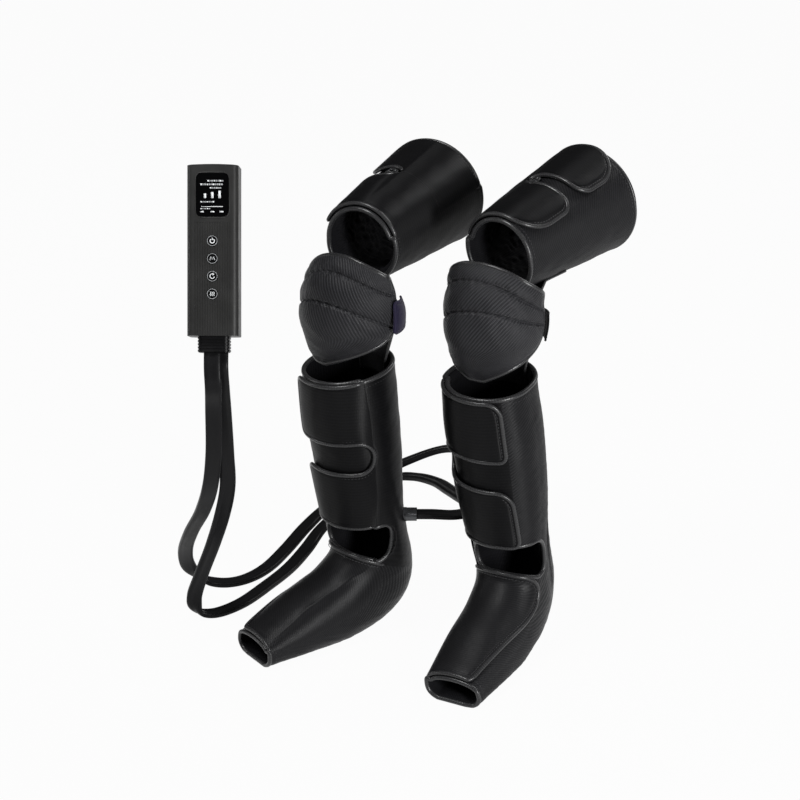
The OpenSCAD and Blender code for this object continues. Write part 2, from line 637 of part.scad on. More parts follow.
module charge_socket()
  color("#c4c7cc") at_controller() difference() {
    union() {
      intersection() {
        charge_mouth(0, wall + 1);
        translate([-case_w / 2 + 0.3, 0, -top]) cube([10, case_d, case_h]);
      }
      translate([-case_w / 2 + wall + 0.05, charge_y - 3, charge_z - 6]) cube([8, 6, 12]);
    }
    translate([-case_w / 2, charge_y, charge_z]) rotate([0, 90, 0])
      linear_extrude(6.5) oval_z(8.3, 2.6);
  }
module screw(head_y, len, r, toward) {
  along_y(r, min(head_y, head_y + toward * len), max(head_y, head_y + toward * len));
  along_y(r * 2, head_y - (toward > 0 ? 1.2 : 0), head_y + (toward > 0 ? 0 : 1.2));
}
module case_screws()
  color("#55585e") at_controller() {
    for (x = [-1, 1], z = [-1, 1]) translate([x * screw_x, 0, z * screw_z])
      screw(case_d - 3.9, 20, 0.95, -1);
    for (x = [-1, 1], z = board_screw_z) translate([x * board_screw_x, 0, z])
      screw(board_y + board_t + 0.05, 5, 0.75, -1);
  }

// ==== Hoses: flat twin-bore hose from the collar to each boot's port ====
// Route points between the straight ends, and the compass direction of the hose's width
LEFT_ROUTE = [[-178, -214, 372, 33], [-191, -201, 338, 33], [-207, -187, 273, 34],
  [-229, -172, 216, 38], [-262, -152, 165, 48], [-302, -132, 116, 56], [-336, -108, 70, 54],
  [-350, -88, 34, 35], [-340, -72, 11, -25], [-318, -57, 4.6, -50], [-300, -32, 4.6, -25],
  [-297, 10, 4.6, 0], [-303, 60, 10, 4], [-303, 106, 26, -5], [-289, 142, 48, -30],
  [-245, 172, 86, -50], [-193, 196, 120, -60], [-140, 212, 146, -85], [-85, 195, 160, -120],
  [-35, 152, 160, -135]];
RIGHT_ROUTE = [[-182, -195, 364, 33], [-194, -180, 323, 33], [-208, -163, 260, 34],
  [-219, -151, 211, 38], [-235, -146, 164, 50], [-254, -146, 116, 62], [-274, -148, 70, 62],
  [-287, -150, 34, 40], [-286, -146, 12, -10], [-272, -128, 4.6, -20], [-261, -88, 4.6, -5],
  [-264, -30, 4.6, 10], [-271, 26, 4.6, 6], [-278, 74, 12, 2], [-275, 108, 32, -25],
  [-246, 140, 68, -55], [-200, 168, 102, -72], [-158, 168, 116, -105], [-112, 152, 126, -122],
  [-72, 126, 134, -122], [-34, 100, 142, -122], [-2, 78, 149, -150], [8, 54, 153, -185],
  [-2, 31, 155, -215]];
hose_x = [6, -2];
hose_y = [ctl_mid_y + 4.2, ctl_mid_y - 4.2];
// Length of the straight ends, and the hair's gap between a hose end and what it meets
straight = 20;
seam = 0.05;
function hose_route(leg) =
  let (top_end = -top - 0.2 - collar_h - seam,
    from = ctl_point([hose_x[leg], hose_y[leg], top_end]),
    next = ctl_point([hose_x[leg], hose_y[leg], top_end - straight]),
    end = port_out(leg, port_reach + port_sleeve + seam),
    before = port_out(leg, port_reach + port_sleeve + straight),
    turn = port_heading(leg) - 270)
  [[each from, ctl_turn], [each next, ctl_turn],
    for (p = leg == LEFT ? LEFT_ROUTE : RIGHT_ROUTE) p + [each home, 0],
    [each before, turn], [each end, turn]];
function unit(v) = v / norm(v);
function route_at(p, s) =
  let (last = len(p) - 1,
    i = min(floor(s), last - 1),
    a = i == 0 ? 2 * p[0] - p[1] : p[i - 1],
    d = i == last - 1 ? 2 * p[last] - p[last - 1] : p[i + 2])
  spline(a, p[i], p[i + 1], d, s - i);
hose_sides = 8;
// Corner bevels of the hose's flat section
bevel_w = 3;
bevel_t = 2.4;
function hose_ring(p, s) =
  let (step = 0.01,
    c = route_at(p, s),
    ahead = route_at(p, min(len(p) - 1, s + step)) - route_at(p, max(0, s - step)),
    t = unit([ahead[0], ahead[1], ahead[2]]),
    q = [cos(c[3]), sin(c[3]), 0],
    w = unit(q - (q * t) * t),
    n = cross(w, t))
  [for (k = [0:hose_sides - 1])
    let (f = 360 * (k + 0.5) / hose_sides,
      wide = abs(cos(f)) > 0.5,
      x = sign(cos(f)) * (hose_w / 2 - (wide ? 0 : bevel_w)),
      y = sign(sin(f)) * (hose_t / 2 - (wide ? bevel_t : 0)))
    [c[0], c[1], c[2]] + x * w + y * n];
module hose(leg) {
  p = hose_route(leg);
  last = len(p) - 1;
  rows = [for (i = [0:last - 1])
    for (s = i > 1 && i < last - 2 ? [i, i + 0.5] : [i]) hose_ring(p, s), hose_ring(p, last)];
  ends = (len(rows) - 1) * hose_sides;
  caps = [[for (k = [0:hose_sides - 1]) hose_sides - 1 - k],
    [for (k = [0:hose_sides - 1]) ends + k]];
  walls = [for (i = [0:len(rows) - 2], k = [0:hose_sides - 1])
    let (a = i * hose_sides + k, b = i * hose_sides + (k + 1) % hose_sides)
    each [[a, b, b + hose_sides], [a, b + hose_sides, a + hose_sides]]];
  color("#161617") polyhedron([for (r = rows, v = r) v], concat(caps, walls), convexity = 8);
}

module power_button() button(0);
module mode_button() button(1);
module strength_button() button(2);
module heat_button() button(3);

controller_front_shell();
controller_back_shell();
display_window();
display_module();
power_button();
mode_button();
strength_button();
heat_button();
main_board();
air_pump();
air_valves();
battery_pack();
hose_socket();
charge_socket();
case_screws();
hose_plug();
hose(RIGHT);  // right_hose
hose(LEFT);  // left_hose
boot_cover(RIGHT);  // right_boot_cover
boot_lining(RIGHT);  // right_boot_lining
calf_bladder(RIGHT);  // right_calf_bladder
foot_bladder(RIGHT);  // right_foot_bladder
calf_upper_flap(RIGHT);  // right_calf_upper_flap
calf_lower_flap(RIGHT);  // right_calf_lower_flap
foot_flap(RIGHT);  // right_foot_flap
air_port(RIGHT);  // right_air_port
knee_pad(RIGHT);  // right_knee_pad
knee_heater(RIGHT);  // right_knee_heater
knee_lining(RIGHT);  // right_knee_lining
knee_strap(RIGHT);  // right_knee_strap
strap_tab(RIGHT);  // right_strap_tab
back_link(RIGHT);  // right_back_link
thigh_cover(RIGHT);  // right_thigh_cover
thigh_lining(RIGHT);  // right_thigh_lining
thigh_bladder(RIGHT);  // right_thigh_bladder
thigh_lower_flap(RIGHT);  // right_thigh_lower_flap
thigh_upper_flap(RIGHT);  // right_thigh_upper_flap
boot_cover(LEFT);  // left_boot_cover
boot_lining(LEFT);  // left_boot_lining
calf_bladder(LEFT);  // left_calf_bladder
foot_bladder(LEFT);  // left_foot_bladder
calf_upper_flap(LEFT);  // left_calf_upper_flap
calf_lower_flap(LEFT);  // left_calf_lower_flap
foot_flap(LEFT);  // left_foot_flap
air_port(LEFT);  // left_air_port
knee_pad(LEFT);  // left_knee_pad
knee_heater(LEFT);  // left_knee_heater
knee_lining(LEFT);  // left_knee_lining
knee_strap(LEFT);  // left_knee_strap
strap_tab(LEFT);  // left_strap_tab
back_link(LEFT);  // left_back_link
thigh_cover(LEFT);  // left_thigh_cover
thigh_lining(LEFT);  // left_thigh_lining
thigh_bladder(LEFT);  // left_thigh_bladder
thigh_lower_flap(LEFT);  // left_thigh_lower_flap
thigh_upper_flap(LEFT);  // left_thigh_upper_flap
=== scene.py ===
import math
from functools import partial
import bpy
import numpy as np
from mathutils import Matrix, Vector


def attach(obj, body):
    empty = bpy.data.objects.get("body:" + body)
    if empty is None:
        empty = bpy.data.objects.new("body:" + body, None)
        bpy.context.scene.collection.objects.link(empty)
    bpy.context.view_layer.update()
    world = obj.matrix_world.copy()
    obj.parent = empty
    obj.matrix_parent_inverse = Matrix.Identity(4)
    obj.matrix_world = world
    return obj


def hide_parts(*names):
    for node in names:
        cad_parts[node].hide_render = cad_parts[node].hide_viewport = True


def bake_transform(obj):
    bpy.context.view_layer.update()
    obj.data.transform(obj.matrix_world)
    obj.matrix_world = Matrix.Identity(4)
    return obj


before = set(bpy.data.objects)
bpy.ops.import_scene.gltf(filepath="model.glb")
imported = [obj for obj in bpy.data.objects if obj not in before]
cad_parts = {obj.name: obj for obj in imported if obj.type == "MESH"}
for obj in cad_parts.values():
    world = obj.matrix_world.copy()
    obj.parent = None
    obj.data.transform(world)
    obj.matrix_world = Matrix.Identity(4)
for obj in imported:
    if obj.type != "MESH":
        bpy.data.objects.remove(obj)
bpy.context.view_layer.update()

scene = bpy.context.scene
scene.view_settings.view_transform = "Standard"

# ---- Camera: the photograph's viewing angle ----
# Where the legs' frame stands, in millimetres
HOME = np.array([59.5, -0.5, 0.0])
AZ, EL = math.radians(33.5), math.radians(24)
BACK = Vector((math.sin(AZ) * math.cos(EL), -math.cos(AZ) * math.cos(EL), math.sin(EL)))
RIGHT = Vector((math.cos(AZ), math.sin(AZ), 0))
UP = BACK.cross(RIGHT)
target = Vector((0.0595, 0.0595, 0.230))
# Sensor and distance in millimetres; the picture's side, scale and shift in pixels
SENSOR, CAMERA_MM, PICTURE, PIXELS_PER_MM = 36, 2500, 800, 0.79
SHIFT_X, SHIFT_Y = -68, 53.5
cam_data = bpy.data.cameras.new("camera")
cam_data.sensor_width = SENSOR
cam_data.lens = SENSOR * CAMERA_MM / (PICTURE / PIXELS_PER_MM)
cam_data.shift_x = SHIFT_X / PICTURE
cam_data.shift_y = SHIFT_Y / PICTURE
cam = bpy.data.objects.new("camera", cam_data)
scene.collection.objects.link(cam)
m = Matrix((RIGHT, UP, BACK)).transposed().to_4x4()
m.translation = target + BACK * (CAMERA_MM / 1000)
cam.matrix_world = m
scene.camera = cam

# ---- The sleeves' surfaces, in millimetres, as in the CAD source ----
# Each leg: side, x and y of its place, toe-out, lean, the thigh's yaw and rise
LEG = {"right": (-1, -104, -29, 19, 12, 7, 4), "left": (1, 95, 29, 6, 26, 4, 7)}
RIM_H = 366
# Rows: y, height, tilt, half width, front and back depth, front and back squareness
BOOT = [[-30, RIM_H, -8, 59, 58, 60, 2.1, 2.1], [-22, 290, -7, 62, 58, 60, 2.1, 2.1],
        [-12, 210, -5, 58, 53, 56, 2.1, 2.1], [-5, 135, 0, 50, 47, 52, 2.1, 2.1],
        [-4, 82, 40, 46, 46, 74, 2.1, 2.6], [-45, 46, 78, 47, 48, 51, 2.1, 2.8],
        [-105, 34, 84, 46, 35, 37, 2.1, 3], [-168, 22, 88, 40, 19, 24, 2.1, 3]]
THIGH = [[0, 0, 90, 51, 51, 51, 2, 2], [96, 0, 90, 61.5, 60.5, 60.5, 2, 2], [192, 0, 90, 70, 70, 70, 2, 2]]
PAD_STEP = 30.25
PAD = [[-13, 494, 35, 60, 38, 26, 2, 2], [-15, 494 - PAD_STEP, 12, 66, 56, 42, 2, 2],
       [-16, 494 - 2 * PAD_STEP, 0, 66, 64, 50, 2, 2], [-16, 494 - 3 * PAD_STEP, 5, 58, 60, 48, 2, 2],
       [-17, 373, 8, 48, 52, 42, 2, 2]]
SLIP, LIFT, FLAP_T = 0.5, 0.8, 5.0
STRAP_HALF = 36 / 2 / PAD_STEP
UNDER = -FLAP_T - LIFT
LINING_IN = -3 - SLIP - 5.2 - SLIP - 1.5
ROOT = 160.0


def spline(a, b, c, d, t):
    """Catmull-Rom curve from b to c."""
    return 0.5 * (2 * b + (c - a) * t + (2 * a - 5 * b + 4 * c - d) * t ** 2
                  + (3 * b - a - 3 * c + d) * t ** 3)


def station(rows, u):
    """Section values at u, counted in rows."""
    p = np.asarray(rows, float)
    n = len(p)
    u = np.clip(np.asarray(u, float), 0, n - 1)
    i = np.minimum(u.astype(int), n - 2)
    t = (u - i)[..., None]
    a, b, c, d = (p[np.clip(i + k, 0, n - 1)] for k in (-1, 0, 1, 2))
    a = np.where((i == 0)[..., None], 2 * b - c, a)
    d = np.where((i == n - 2)[..., None], 2 * c - b, d)
    return spline(a, b, c, d, t)


def sleeve(rows, u, th, off):
    """Points on a sleeve at u and the angle th round it, off outward."""
    u, th, off = np.broadcast_arrays(np.asarray(u, float), np.asarray(th, float), np.asarray(off, float))
    r = station(rows, u)
    y, z, tilt, w, f, b, ef, eb = (r[..., k] for k in range(8))
    c, s = np.cos(np.radians(th)), np.sin(np.radians(th))
    e = np.where(s >= 0, ef, eb)
    q = (np.abs(c) ** e + np.abs(s) ** e) ** (1 / e)
    n = (np.where(s >= 0, f, b) + off) * s / q
    t = np.radians(tilt)
    return np.stack([(w + off) * c / q, y - n * np.cos(t), z + n * np.sin(t)], -1)


def turn_z(p, a):
    c, s = math.cos(math.radians(a)), math.sin(math.radians(a))
    return np.stack([p[..., 0] * c - p[..., 1] * s, p[..., 0] * s + p[..., 1] * c, p[..., 2]], -1)


def turn_x(p, a):
    c, s = math.cos(math.radians(a)), math.sin(math.radians(a))
    return np.stack([p[..., 0], p[..., 1] * c - p[..., 2] * s, p[..., 1] * s + p[..., 2] * c], -1)


def stand(leg, p):
    """From a leg's own frame to the standing, leaning leg."""
    side, gx, gy, toe, lean = LEG[leg][:5]
    q = turn_z(np.asarray(p, float) * np.array([side, 1, 1]), side * toe)
    shift = side * lean * np.minimum(np.asarray(p, float)[..., 2], RIM_H) / RIM_H
    return q + HOME + np.stack([gx - shift, gy + 0 * shift, 0 * shift], -1)


def on_thigh(leg, p):
    side, yaw, rise = LEG[leg][0], LEG[leg][5], LEG[leg][6]
    q = turn_z(turn_x(np.asarray(p, float) * np.array([side, 1, 1]), rise), -side * yaw)
    return q + stand(leg, np.array([0, -4, 517.0]))


def boot(leg, u, th, off):
    p = sleeve(BOOT, u, th, off)
    p[..., 2] = np.maximum(p[..., 2], np.maximum(-np.asarray(off, float) + 0 * p[..., 2], 0.3))
    return stand(leg, p)


def thigh(leg, u, th, off):
    return on_thigh(leg, sleeve(THIGH, u, th, off))


def pad(leg, u, th, off):
    return stand(leg, sleeve(PAD, u, th, off))


def pad_angle(u, t):
    """Angle of a point t across the pad; the sides slant together to the tip below u 2.4."""
    k = (np.maximum(0, np.asarray(u, float) - 2.4) / 1.6) ** 1.15
    a = -14 + (78 + 14) * k
    return a + (206 + (102 - 206) * k - a) * t


def boot_u(h):
    """u where the boot's middle line is at height h."""
    lo, hi = 0.0, 4.0
    for _ in range(30):
        mid = (lo + hi) / 2
        lo, hi = (mid, hi) if station(BOOT, mid)[1] > h else (lo, mid)
    return (lo + hi) / 2


def smooth(a, b, x):
    t = np.clip((np.asarray(x, float) - a) / (b - a), 0, 1)
    return t * t * (3 - 2 * t)


def waves(x, y, seed, scale, n=7):
    """Smooth seeded noise in -1..1 over two lengths in millimetres."""
    rng = np.random.default_rng(seed)
    out = np.zeros(np.broadcast(x, y).shape)
    for _ in range(n):
        a, f, ph = rng.uniform(0, 6.28), rng.uniform(0.6, 1.8) / scale, rng.uniform(0, 6.28, 2)
        s = np.cos(a) * x + np.sin(a) * y
        t = -np.sin(a) * x + np.cos(a) * y
        out += np.sin(6.28 * f * s + 1.7 * np.sin(6.28 * f * 0.6 * t + ph[0]) + ph[1])
    return out / n


def run(p):
    """Length along a path up to each of its points."""
    return np.concatenate([[0], np.cumsum(np.linalg.norm(np.diff(p, axis=0), axis=1))])


def spread(p):
    """Lengths across and down a grid of points."""
    x = np.cumsum(np.linalg.norm(np.diff(p, axis=1, prepend=p[:, :1]), axis=2), 1)
    y = np.cumsum(np.linalg.norm(np.diff(p, axis=0, prepend=p[:1]), axis=2), 0)
    return x, y


# ---- Mesh builder ----
class Part:
    """Collects grids and tubes in millimetres and makes one mesh of them."""

    def __init__(self):
        self.v, self.f, self.m, self.uv, self.n = [], [], [], [], 0

    def add(self, verts, faces, mat, uvs):
        self.v.append(np.asarray(verts, float).reshape(-1, 3))
        self.f += [tuple(i + self.n for i in f) for f in faces]
        self.m += [mat] * len(faces)
        self.uv += uvs
        self.n += len(self.v[-1])

    def slab(self, outer, inner, ring=False, keep=None, mats=(0, 1), flip=False, satin=None):
        """Closed sheet between two grids; cells where keep is False stay open."""
        R, C = outer.shape[:2]
        last = C if ring else C - 1
        keep = np.ones((R - 1, last), bool) if keep is None else keep
        wide = np.linalg.norm(np.diff(outer[R // 2], axis=0), axis=1)
        x = np.concatenate([[0], np.cumsum(wide), [wide.sum() + wide.mean()]])
        y = run(outer[:, C // 3])

        def at(i, j, k):
            return k * R * C + i * C + j % C

        def there(i, j):
            if not 0 <= i < R - 1 or (not ring and not 0 <= j < last):
                return False
            return keep[i, j % last]

        faces, mat, uvs = [], [], []

        def quad(q, u, mt):
            if mt == 0 and satin is not None and satin[i, j % last]:
                mt = 4
            if flip:
                q, u = q[::-1], u[::-1]
            faces.append(q)
            uvs.append(u)
            mat.append(mt)

        for i in range(R - 1):
            for j in range(last):
                if not there(i, j):
                    continue
                u = [(x[j], y[i]), (x[j + 1], y[i]), (x[j + 1], y[i + 1]), (x[j], y[i + 1])]
                quad((at(i, j, 0), at(i, j + 1, 0), at(i + 1, j + 1, 0), at(i + 1, j, 0)), u, mats[0])
                quad((at(i, j, 1), at(i + 1, j, 1), at(i + 1, j + 1, 1), at(i, j + 1, 1)),
                     [u[0], u[3], u[2], u[1]], mats[1])
                if not there(i - 1, j):
                    quad((at(i, j, 1), at(i, j + 1, 1), at(i, j + 1, 0), at(i, j, 0)), u, mats[0])
                if not there(i + 1, j):
                    quad((at(i + 1, j, 0), at(i + 1, j + 1, 0), at(i + 1, j + 1, 1), at(i + 1, j, 1)),
                         u, mats[0])
                if not there(i, j - 1):
                    quad((at(i, j, 0), at(i + 1, j, 0), at(i + 1, j, 1), at(i, j, 1)), u, mats[0])
                if not there(i, j + 1):
                    quad((at(i, j + 1, 1), at(i + 1, j + 1, 1), at(i + 1, j + 1, 0), at(i, j + 1, 0)),
                         u, mats[0])
        self.v.append(np.concatenate([outer.reshape(-1, 3), inner.reshape(-1, 3)]))
        self.f += [tuple(int(a) + self.n for a in f) for f in faces]
        self.m += mat
        self.uv += uvs
        self.n += 2 * R * C

    def tube(self, path, r, mat, closed=False, sides=10, flat=1.0, normal=None):
        """Round or flattened tube along a path; normal is the direction of its thin side."""
        p = np.asarray(path, float)
        n = len(p)
        r = np.broadcast_to(np.asarray(r, float), (n,))
        t = np.roll(p, -1, 0) - np.roll(p, 1, 0) if closed else np.gradient(p, axis=0)
        t /= np.linalg.norm(t, axis=1)[:, None] + 1e-9
        if normal is None:
            a = np.zeros_like(p)
            b = np.cross(t[0], [0.3, 0.2, 0.93])
            for i in range(n):
                b = b - t[i] * (b @ t[i])
                b /= np.linalg.norm(b)
                a[i] = b
        else:
            a = normal - t * np.sum(normal * t, 1)[:, None]
            a /= np.linalg.norm(a, axis=1)[:, None] + 1e-9
        b = np.cross(t, a)
        f = np.linspace(0, 2 * np.pi, sides, endpoint=False)
        ring = p[:, None] + r[:, None, None] * (flat * np.cos(f)[None, :, None] * a[:, None]
                                                + np.sin(f)[None, :, None] * b[:, None])
        s = run(p)
        s = np.append(s, s[-1] + np.linalg.norm(p[0] - p[-1]))
        faces, uvs = [], []
        for i in range(n if closed else n - 1):
            for k in range(sides):
                i2, k2 = (i + 1) % n, (k + 1) % sides
                faces.append((i * sides + k, i * sides + k2, i2 * sides + k2, i2 * sides + k))
                c = r[i] * 6.28 / sides
                uvs.append([(k * c, s[i]), ((k + 1) * c, s[i]), ((k + 1) * c, s[i + 1]), (k * c, s[i + 1])])
        if not closed:
            for e in (0, n - 1):
                loop = [e * sides + k for k in range(sides)]
                faces.append(tuple(loop[::-1] if e == 0 else loop))
                uvs.append([(0, s[e])] * sides)
        self.add(ring, faces, mat, uvs)

    def stitches(self, path, out, mat, pitch=4.2, length=2.7, r=0.38):
        """A row of sewing stitches on a path, each a small rounded bar standing out a little."""
        p = np.asarray(path, float)
        s = run(p)
        for a in np.arange(1, s[-1] - length, pitch):
            q = np.stack([np.interp(a + np.array([0, 0.35, 0.65, 1]) * length, s, p[:, k])
                          for k in range(3)], 1)
            o = np.array([np.interp(a, s, out[:, k]) for k in range(3)])
            q += o * np.array([-0.3, 0.1, 0.1, -0.3])[:, None]
            self.tube(q, r, mat, sides=5)

    def make(self, name, mats):
        me = bpy.data.meshes.new(name)
        v = np.concatenate(self.v) * 0.001
        me.from_pydata(v.tolist(), [], self.f)
        layer = me.uv_layers.new(name="UVMap")
        layer.data.foreach_set("uv", np.array([c for u in self.uv for p in u for c in p], np.float32) * 0.001)
        me.polygons.foreach_set("material_index", self.m)
        me.polygons.foreach_set("use_smooth", [True] * len(self.f))
        for mt in mats:
            me.materials.append(mt)
        me.validate()
        me.update()
        ob = bpy.data.objects.new(name, me)
        scene.collection.objects.link(ob)
        return ob


# ---- Materials ----
def material(name, color, rough=0.5, metal=0.0, spec=0.5, sheen=0.0, sheen_rough=0.4, coat=0.0,
             coat_rough=0.1):
    mt = bpy.data.materials.new(name)
    mt.use_nodes = True
    b = mt.node_tree.nodes["Principled BSDF"]
    b.inputs["Base Color"].default_value = (*color, 1)
    b.inputs["Roughness"].default_value = rough
    b.inputs["Metallic"].default_value = metal
    b.inputs["Specular IOR Level"].default_value = spec
    b.inputs["Sheen Weight"].default_value = sheen
    b.inputs["Sheen Roughness"].default_value = sheen_rough
    b.inputs["Coat Weight"].default_value = coat
    b.inputs["Coat Roughness"].default_value = coat_rough
    return mt


class Nodes:
    """Short ways to add and link a material's nodes."""

    def __init__(self, mt):
        self.t = mt.node_tree
        self.b = self.t.nodes["Principled BSDF"]

    def new(self, kind, **inputs):
        n = self.t.nodes.new("ShaderNode" + kind)
        for k, v in inputs.items():
            key = k.replace("_", " ")
            if key in n.inputs:
                n.inputs[key].default_value = v
            else:
                setattr(n, k, v)
        return n

    def link(self, a, b):
        self.t.links.new(a, b)

    def math(self, op, a, b=None):
        n = self.t.nodes.new("ShaderNodeMath")
        n.operation = op
        for k, x in enumerate((a, b)):
            if x is None:
                continue
            if isinstance(x, (int, float)):
                n.inputs[k].default_value = x
            else:
                self.link(x, n.inputs[k])
        return n.outputs[0]

    def ramp(self, fac, stops):
        n = self.t.nodes.new("ShaderNodeValToRGB")
        e = n.color_ramp.elements
        while len(e) < len(stops):
            e.new(0.5)
        for k, (p, c) in enumerate(stops):
            e[k].position = p
            e[k].color = (*c, 1) if len(c) == 3 else c
        self.link(fac, n.inputs[0])
        return n.outputs[0]

    def bump(self, height, strength, distance, normal=None):
        n = self.new("Bump", Strength=strength, Distance=distance)
        self.link(height, n.inputs["Height"])
        if normal is not None:
            self.link(normal, n.inputs["Normal"])
        return n.outputs[0]


def cloth(name, color, pitch, angle, rough=0.62, sheen=0.25, depth=0.35, grain=0.5, light=1.6, spec=0.35,
          silk=0.0):
    """Woven fabric: ribs of one pitch in metres broken by threads, with lint and faded patches.
    Its colour has painted shade in the ribs' grooves and a painted highlight on their tops, mixed with random
    faded patches; light sets how pale the rib tops and patches get. silk draws the highlights out along the
    sleeve."""
    mt = material(name, color, rough=rough, sheen=sheen, spec=spec)
    n = Nodes(mt)
    uv = n.new("TexCoord").outputs["UV"]
    turn = n.new("Mapping", Rotation=(0, 0, math.radians(angle)))
    n.link(uv, turn.inputs["Vector"])
    ribs = n.new("TexWave", wave_type="BANDS", bands_direction="X", wave_profile="SIN",
                 Scale=0.314 / pitch, Distortion=0.7, Detail=1.0, Detail_Scale=2.0)
    n.link(turn.outputs[0], ribs.inputs["Vector"])
    cross = n.new("TexWave", wave_type="BANDS", bands_direction="Y", wave_profile="SIN",
                  Scale=0.314 / (pitch * 0.55), Distortion=0.5, Detail=0.0)
    n.link(turn.outputs[0], cross.inputs["Vector"])
    noise = n.new("TexNoise", Scale=900.0, Detail=3.0)
    n.link(uv, noise.inputs["Vector"])
    patch = n.new("TexNoise", Scale=14.0, Detail=4.0, Roughness=0.6)
    n.link(uv, patch.inputs["Vector"])
    weave = n.math("MULTIPLY", ribs.outputs["Fac"],
                   n.math("ADD", n.math("MULTIPLY", cross.outputs["Fac"], 0.5), 0.5))
    height = n.math("ADD", weave, n.math("MULTIPLY", noise.outputs["Fac"], grain))
    # Colour follows the rib height: painted shade in the grooves and a painted highlight on the rib tops,
    # mixed with random faded patches.
    rib_shade_and_fade = n.math("ADD", n.math("MULTIPLY", weave, 0.55), n.math("MULTIPLY", patch.outputs["Fac"], 0.45))
    # The dark end is painted shade in the rib grooves and the pale end a painted highlight on the rib tops;
    # both also colour the faded patches.
    groove_shade_and_fade = tuple(c * 0.55 for c in color)
    pale = tuple(c * light for c in color)
    n.link(n.ramp(rib_shade_and_fade, [(0.1, groove_shade_and_fade), (0.8, pale)]), n.b.inputs["Base Color"])
    low, high = max(rough - 0.1, 0.05), min(rough + 0.12, 1)
    n.link(n.ramp(noise.outputs["Fac"], [(0.3, (low,) * 3), (0.7, (high,) * 3)]), n.b.inputs["Roughness"])
    n.link(n.bump(height, depth, 0.0004, n.bump(patch.outputs["Fac"], 0.25, 0.003)), n.b.inputs["Normal"])
    if silk:
        n.b.inputs["Anisotropic"].default_value = silk
        n.b.inputs["Anisotropic Rotation"].default_value = 0.25
        n.link(n.new("Tangent", direction_type="UV_MAP", uv_map="UVMap").outputs[0], n.b.inputs["Tangent"])
    return mt


def plastic(name, color, rough, grain=0.15, scale=2500.0, **more):
    """Moulded plastic with a fine spark-eroded grain and slight handling marks."""
    mt = material(name, color, rough=rough, **more)
    n = Nodes(mt)
    ob = n.new("TexCoord").outputs["Object"]
    fine = n.new("TexNoise", Scale=scale, Detail=2.0)
    broad = n.new("TexNoise", Scale=35.0, Detail=5.0, Roughness=0.65)
    n.link(ob, fine.inputs["Vector"])
    n.link(ob, broad.inputs["Vector"])
    n.link(n.bump(fine.outputs["Fac"], grain, 0.0002), n.b.inputs["Normal"])
    marks = [(0.3, (rough * 0.85,) * 3), (0.75, (min(1, rough * 1.2),) * 3)]
    tones = [(0.3, tuple(c * 0.92 for c in color)), (0.7, tuple(c * 1.08 for c in color))]
    n.link(n.ramp(broad.outputs["Fac"], marks), n.b.inputs["Roughness"])
    n.link(n.ramp(broad.outputs["Fac"], tones), n.b.inputs["Base Color"])
    return mt


# The light values set how far each fabric's colour spreads, from painted shade in its rib grooves to a
# painted highlight on its rib tops.
TWILL = cloth("twill_fabric", (0.0075, 0.0075, 0.0082), 0.0033, 52, rough=0.45,
              sheen=0.0, depth=0.6, light=2.2, spec=0.11, silk=0.8)
SMOOTH = cloth("flap_fabric", (0.0045, 0.0045, 0.0050), 0.0042, 86, rough=0.45,
               sheen=0.0, depth=0.14, grain=1.0, light=1.3, spec=0.11, silk=0.85)
FOOTCLOTH = cloth("foot_fabric", (0.0085, 0.0085, 0.0092), 0.0031, 60, rough=0.42,
                  sheen=0.0, depth=0.28, light=1.8, spec=0.12, silk=0.6)
PADCLOTH = cloth("pad_fabric", (0.0125, 0.0125, 0.0137), 0.0034, 38, rough=0.42,
                 sheen=0.0, depth=1.0, light=3.0, spec=0.12)
KNIT = cloth("lining_fabric", (0.0070, 0.0070, 0.0080), 0.0036, 0, rough=0.8,
             sheen=0.02, depth=0.5, light=1.5, spec=0.03)
PIPING = cloth("binding_tape", (0.020, 0.020, 0.021), 0.0032, 90, rough=0.3,
               sheen=0.03, depth=0.12, light=1.5, spec=0.4)
THREAD = material("sewing_thread", (0.016, 0.016, 0.018), rough=0.5, sheen=0.1)
HOOK = cloth("hook_tape", (0.0065, 0.0042, 0.020), 0.0032, 0, rough=0.6,
             sheen=0.06, depth=0.8, light=1.8, spec=0.2)
LOOP = cloth("loop_strap", (0.0055, 0.0055, 0.0065), 0.0032, 90, rough=0.8, sheen=0.1, depth=0.6, spec=0.1)
HOSE = plastic("hose_rubber", (0.0085, 0.0085, 0.0092), 0.34, grain=0.12, scale=1400, spec=0.10)

# ---- Hoses: the CAD route in millimetres, with the direction of the width in degrees ----
CTL_AT = HOME + np.array([-201, -176, 528])


def ctl(p):
    return turn_z(turn_x(np.asarray(p, float), -24), 33.5) + CTL_AT


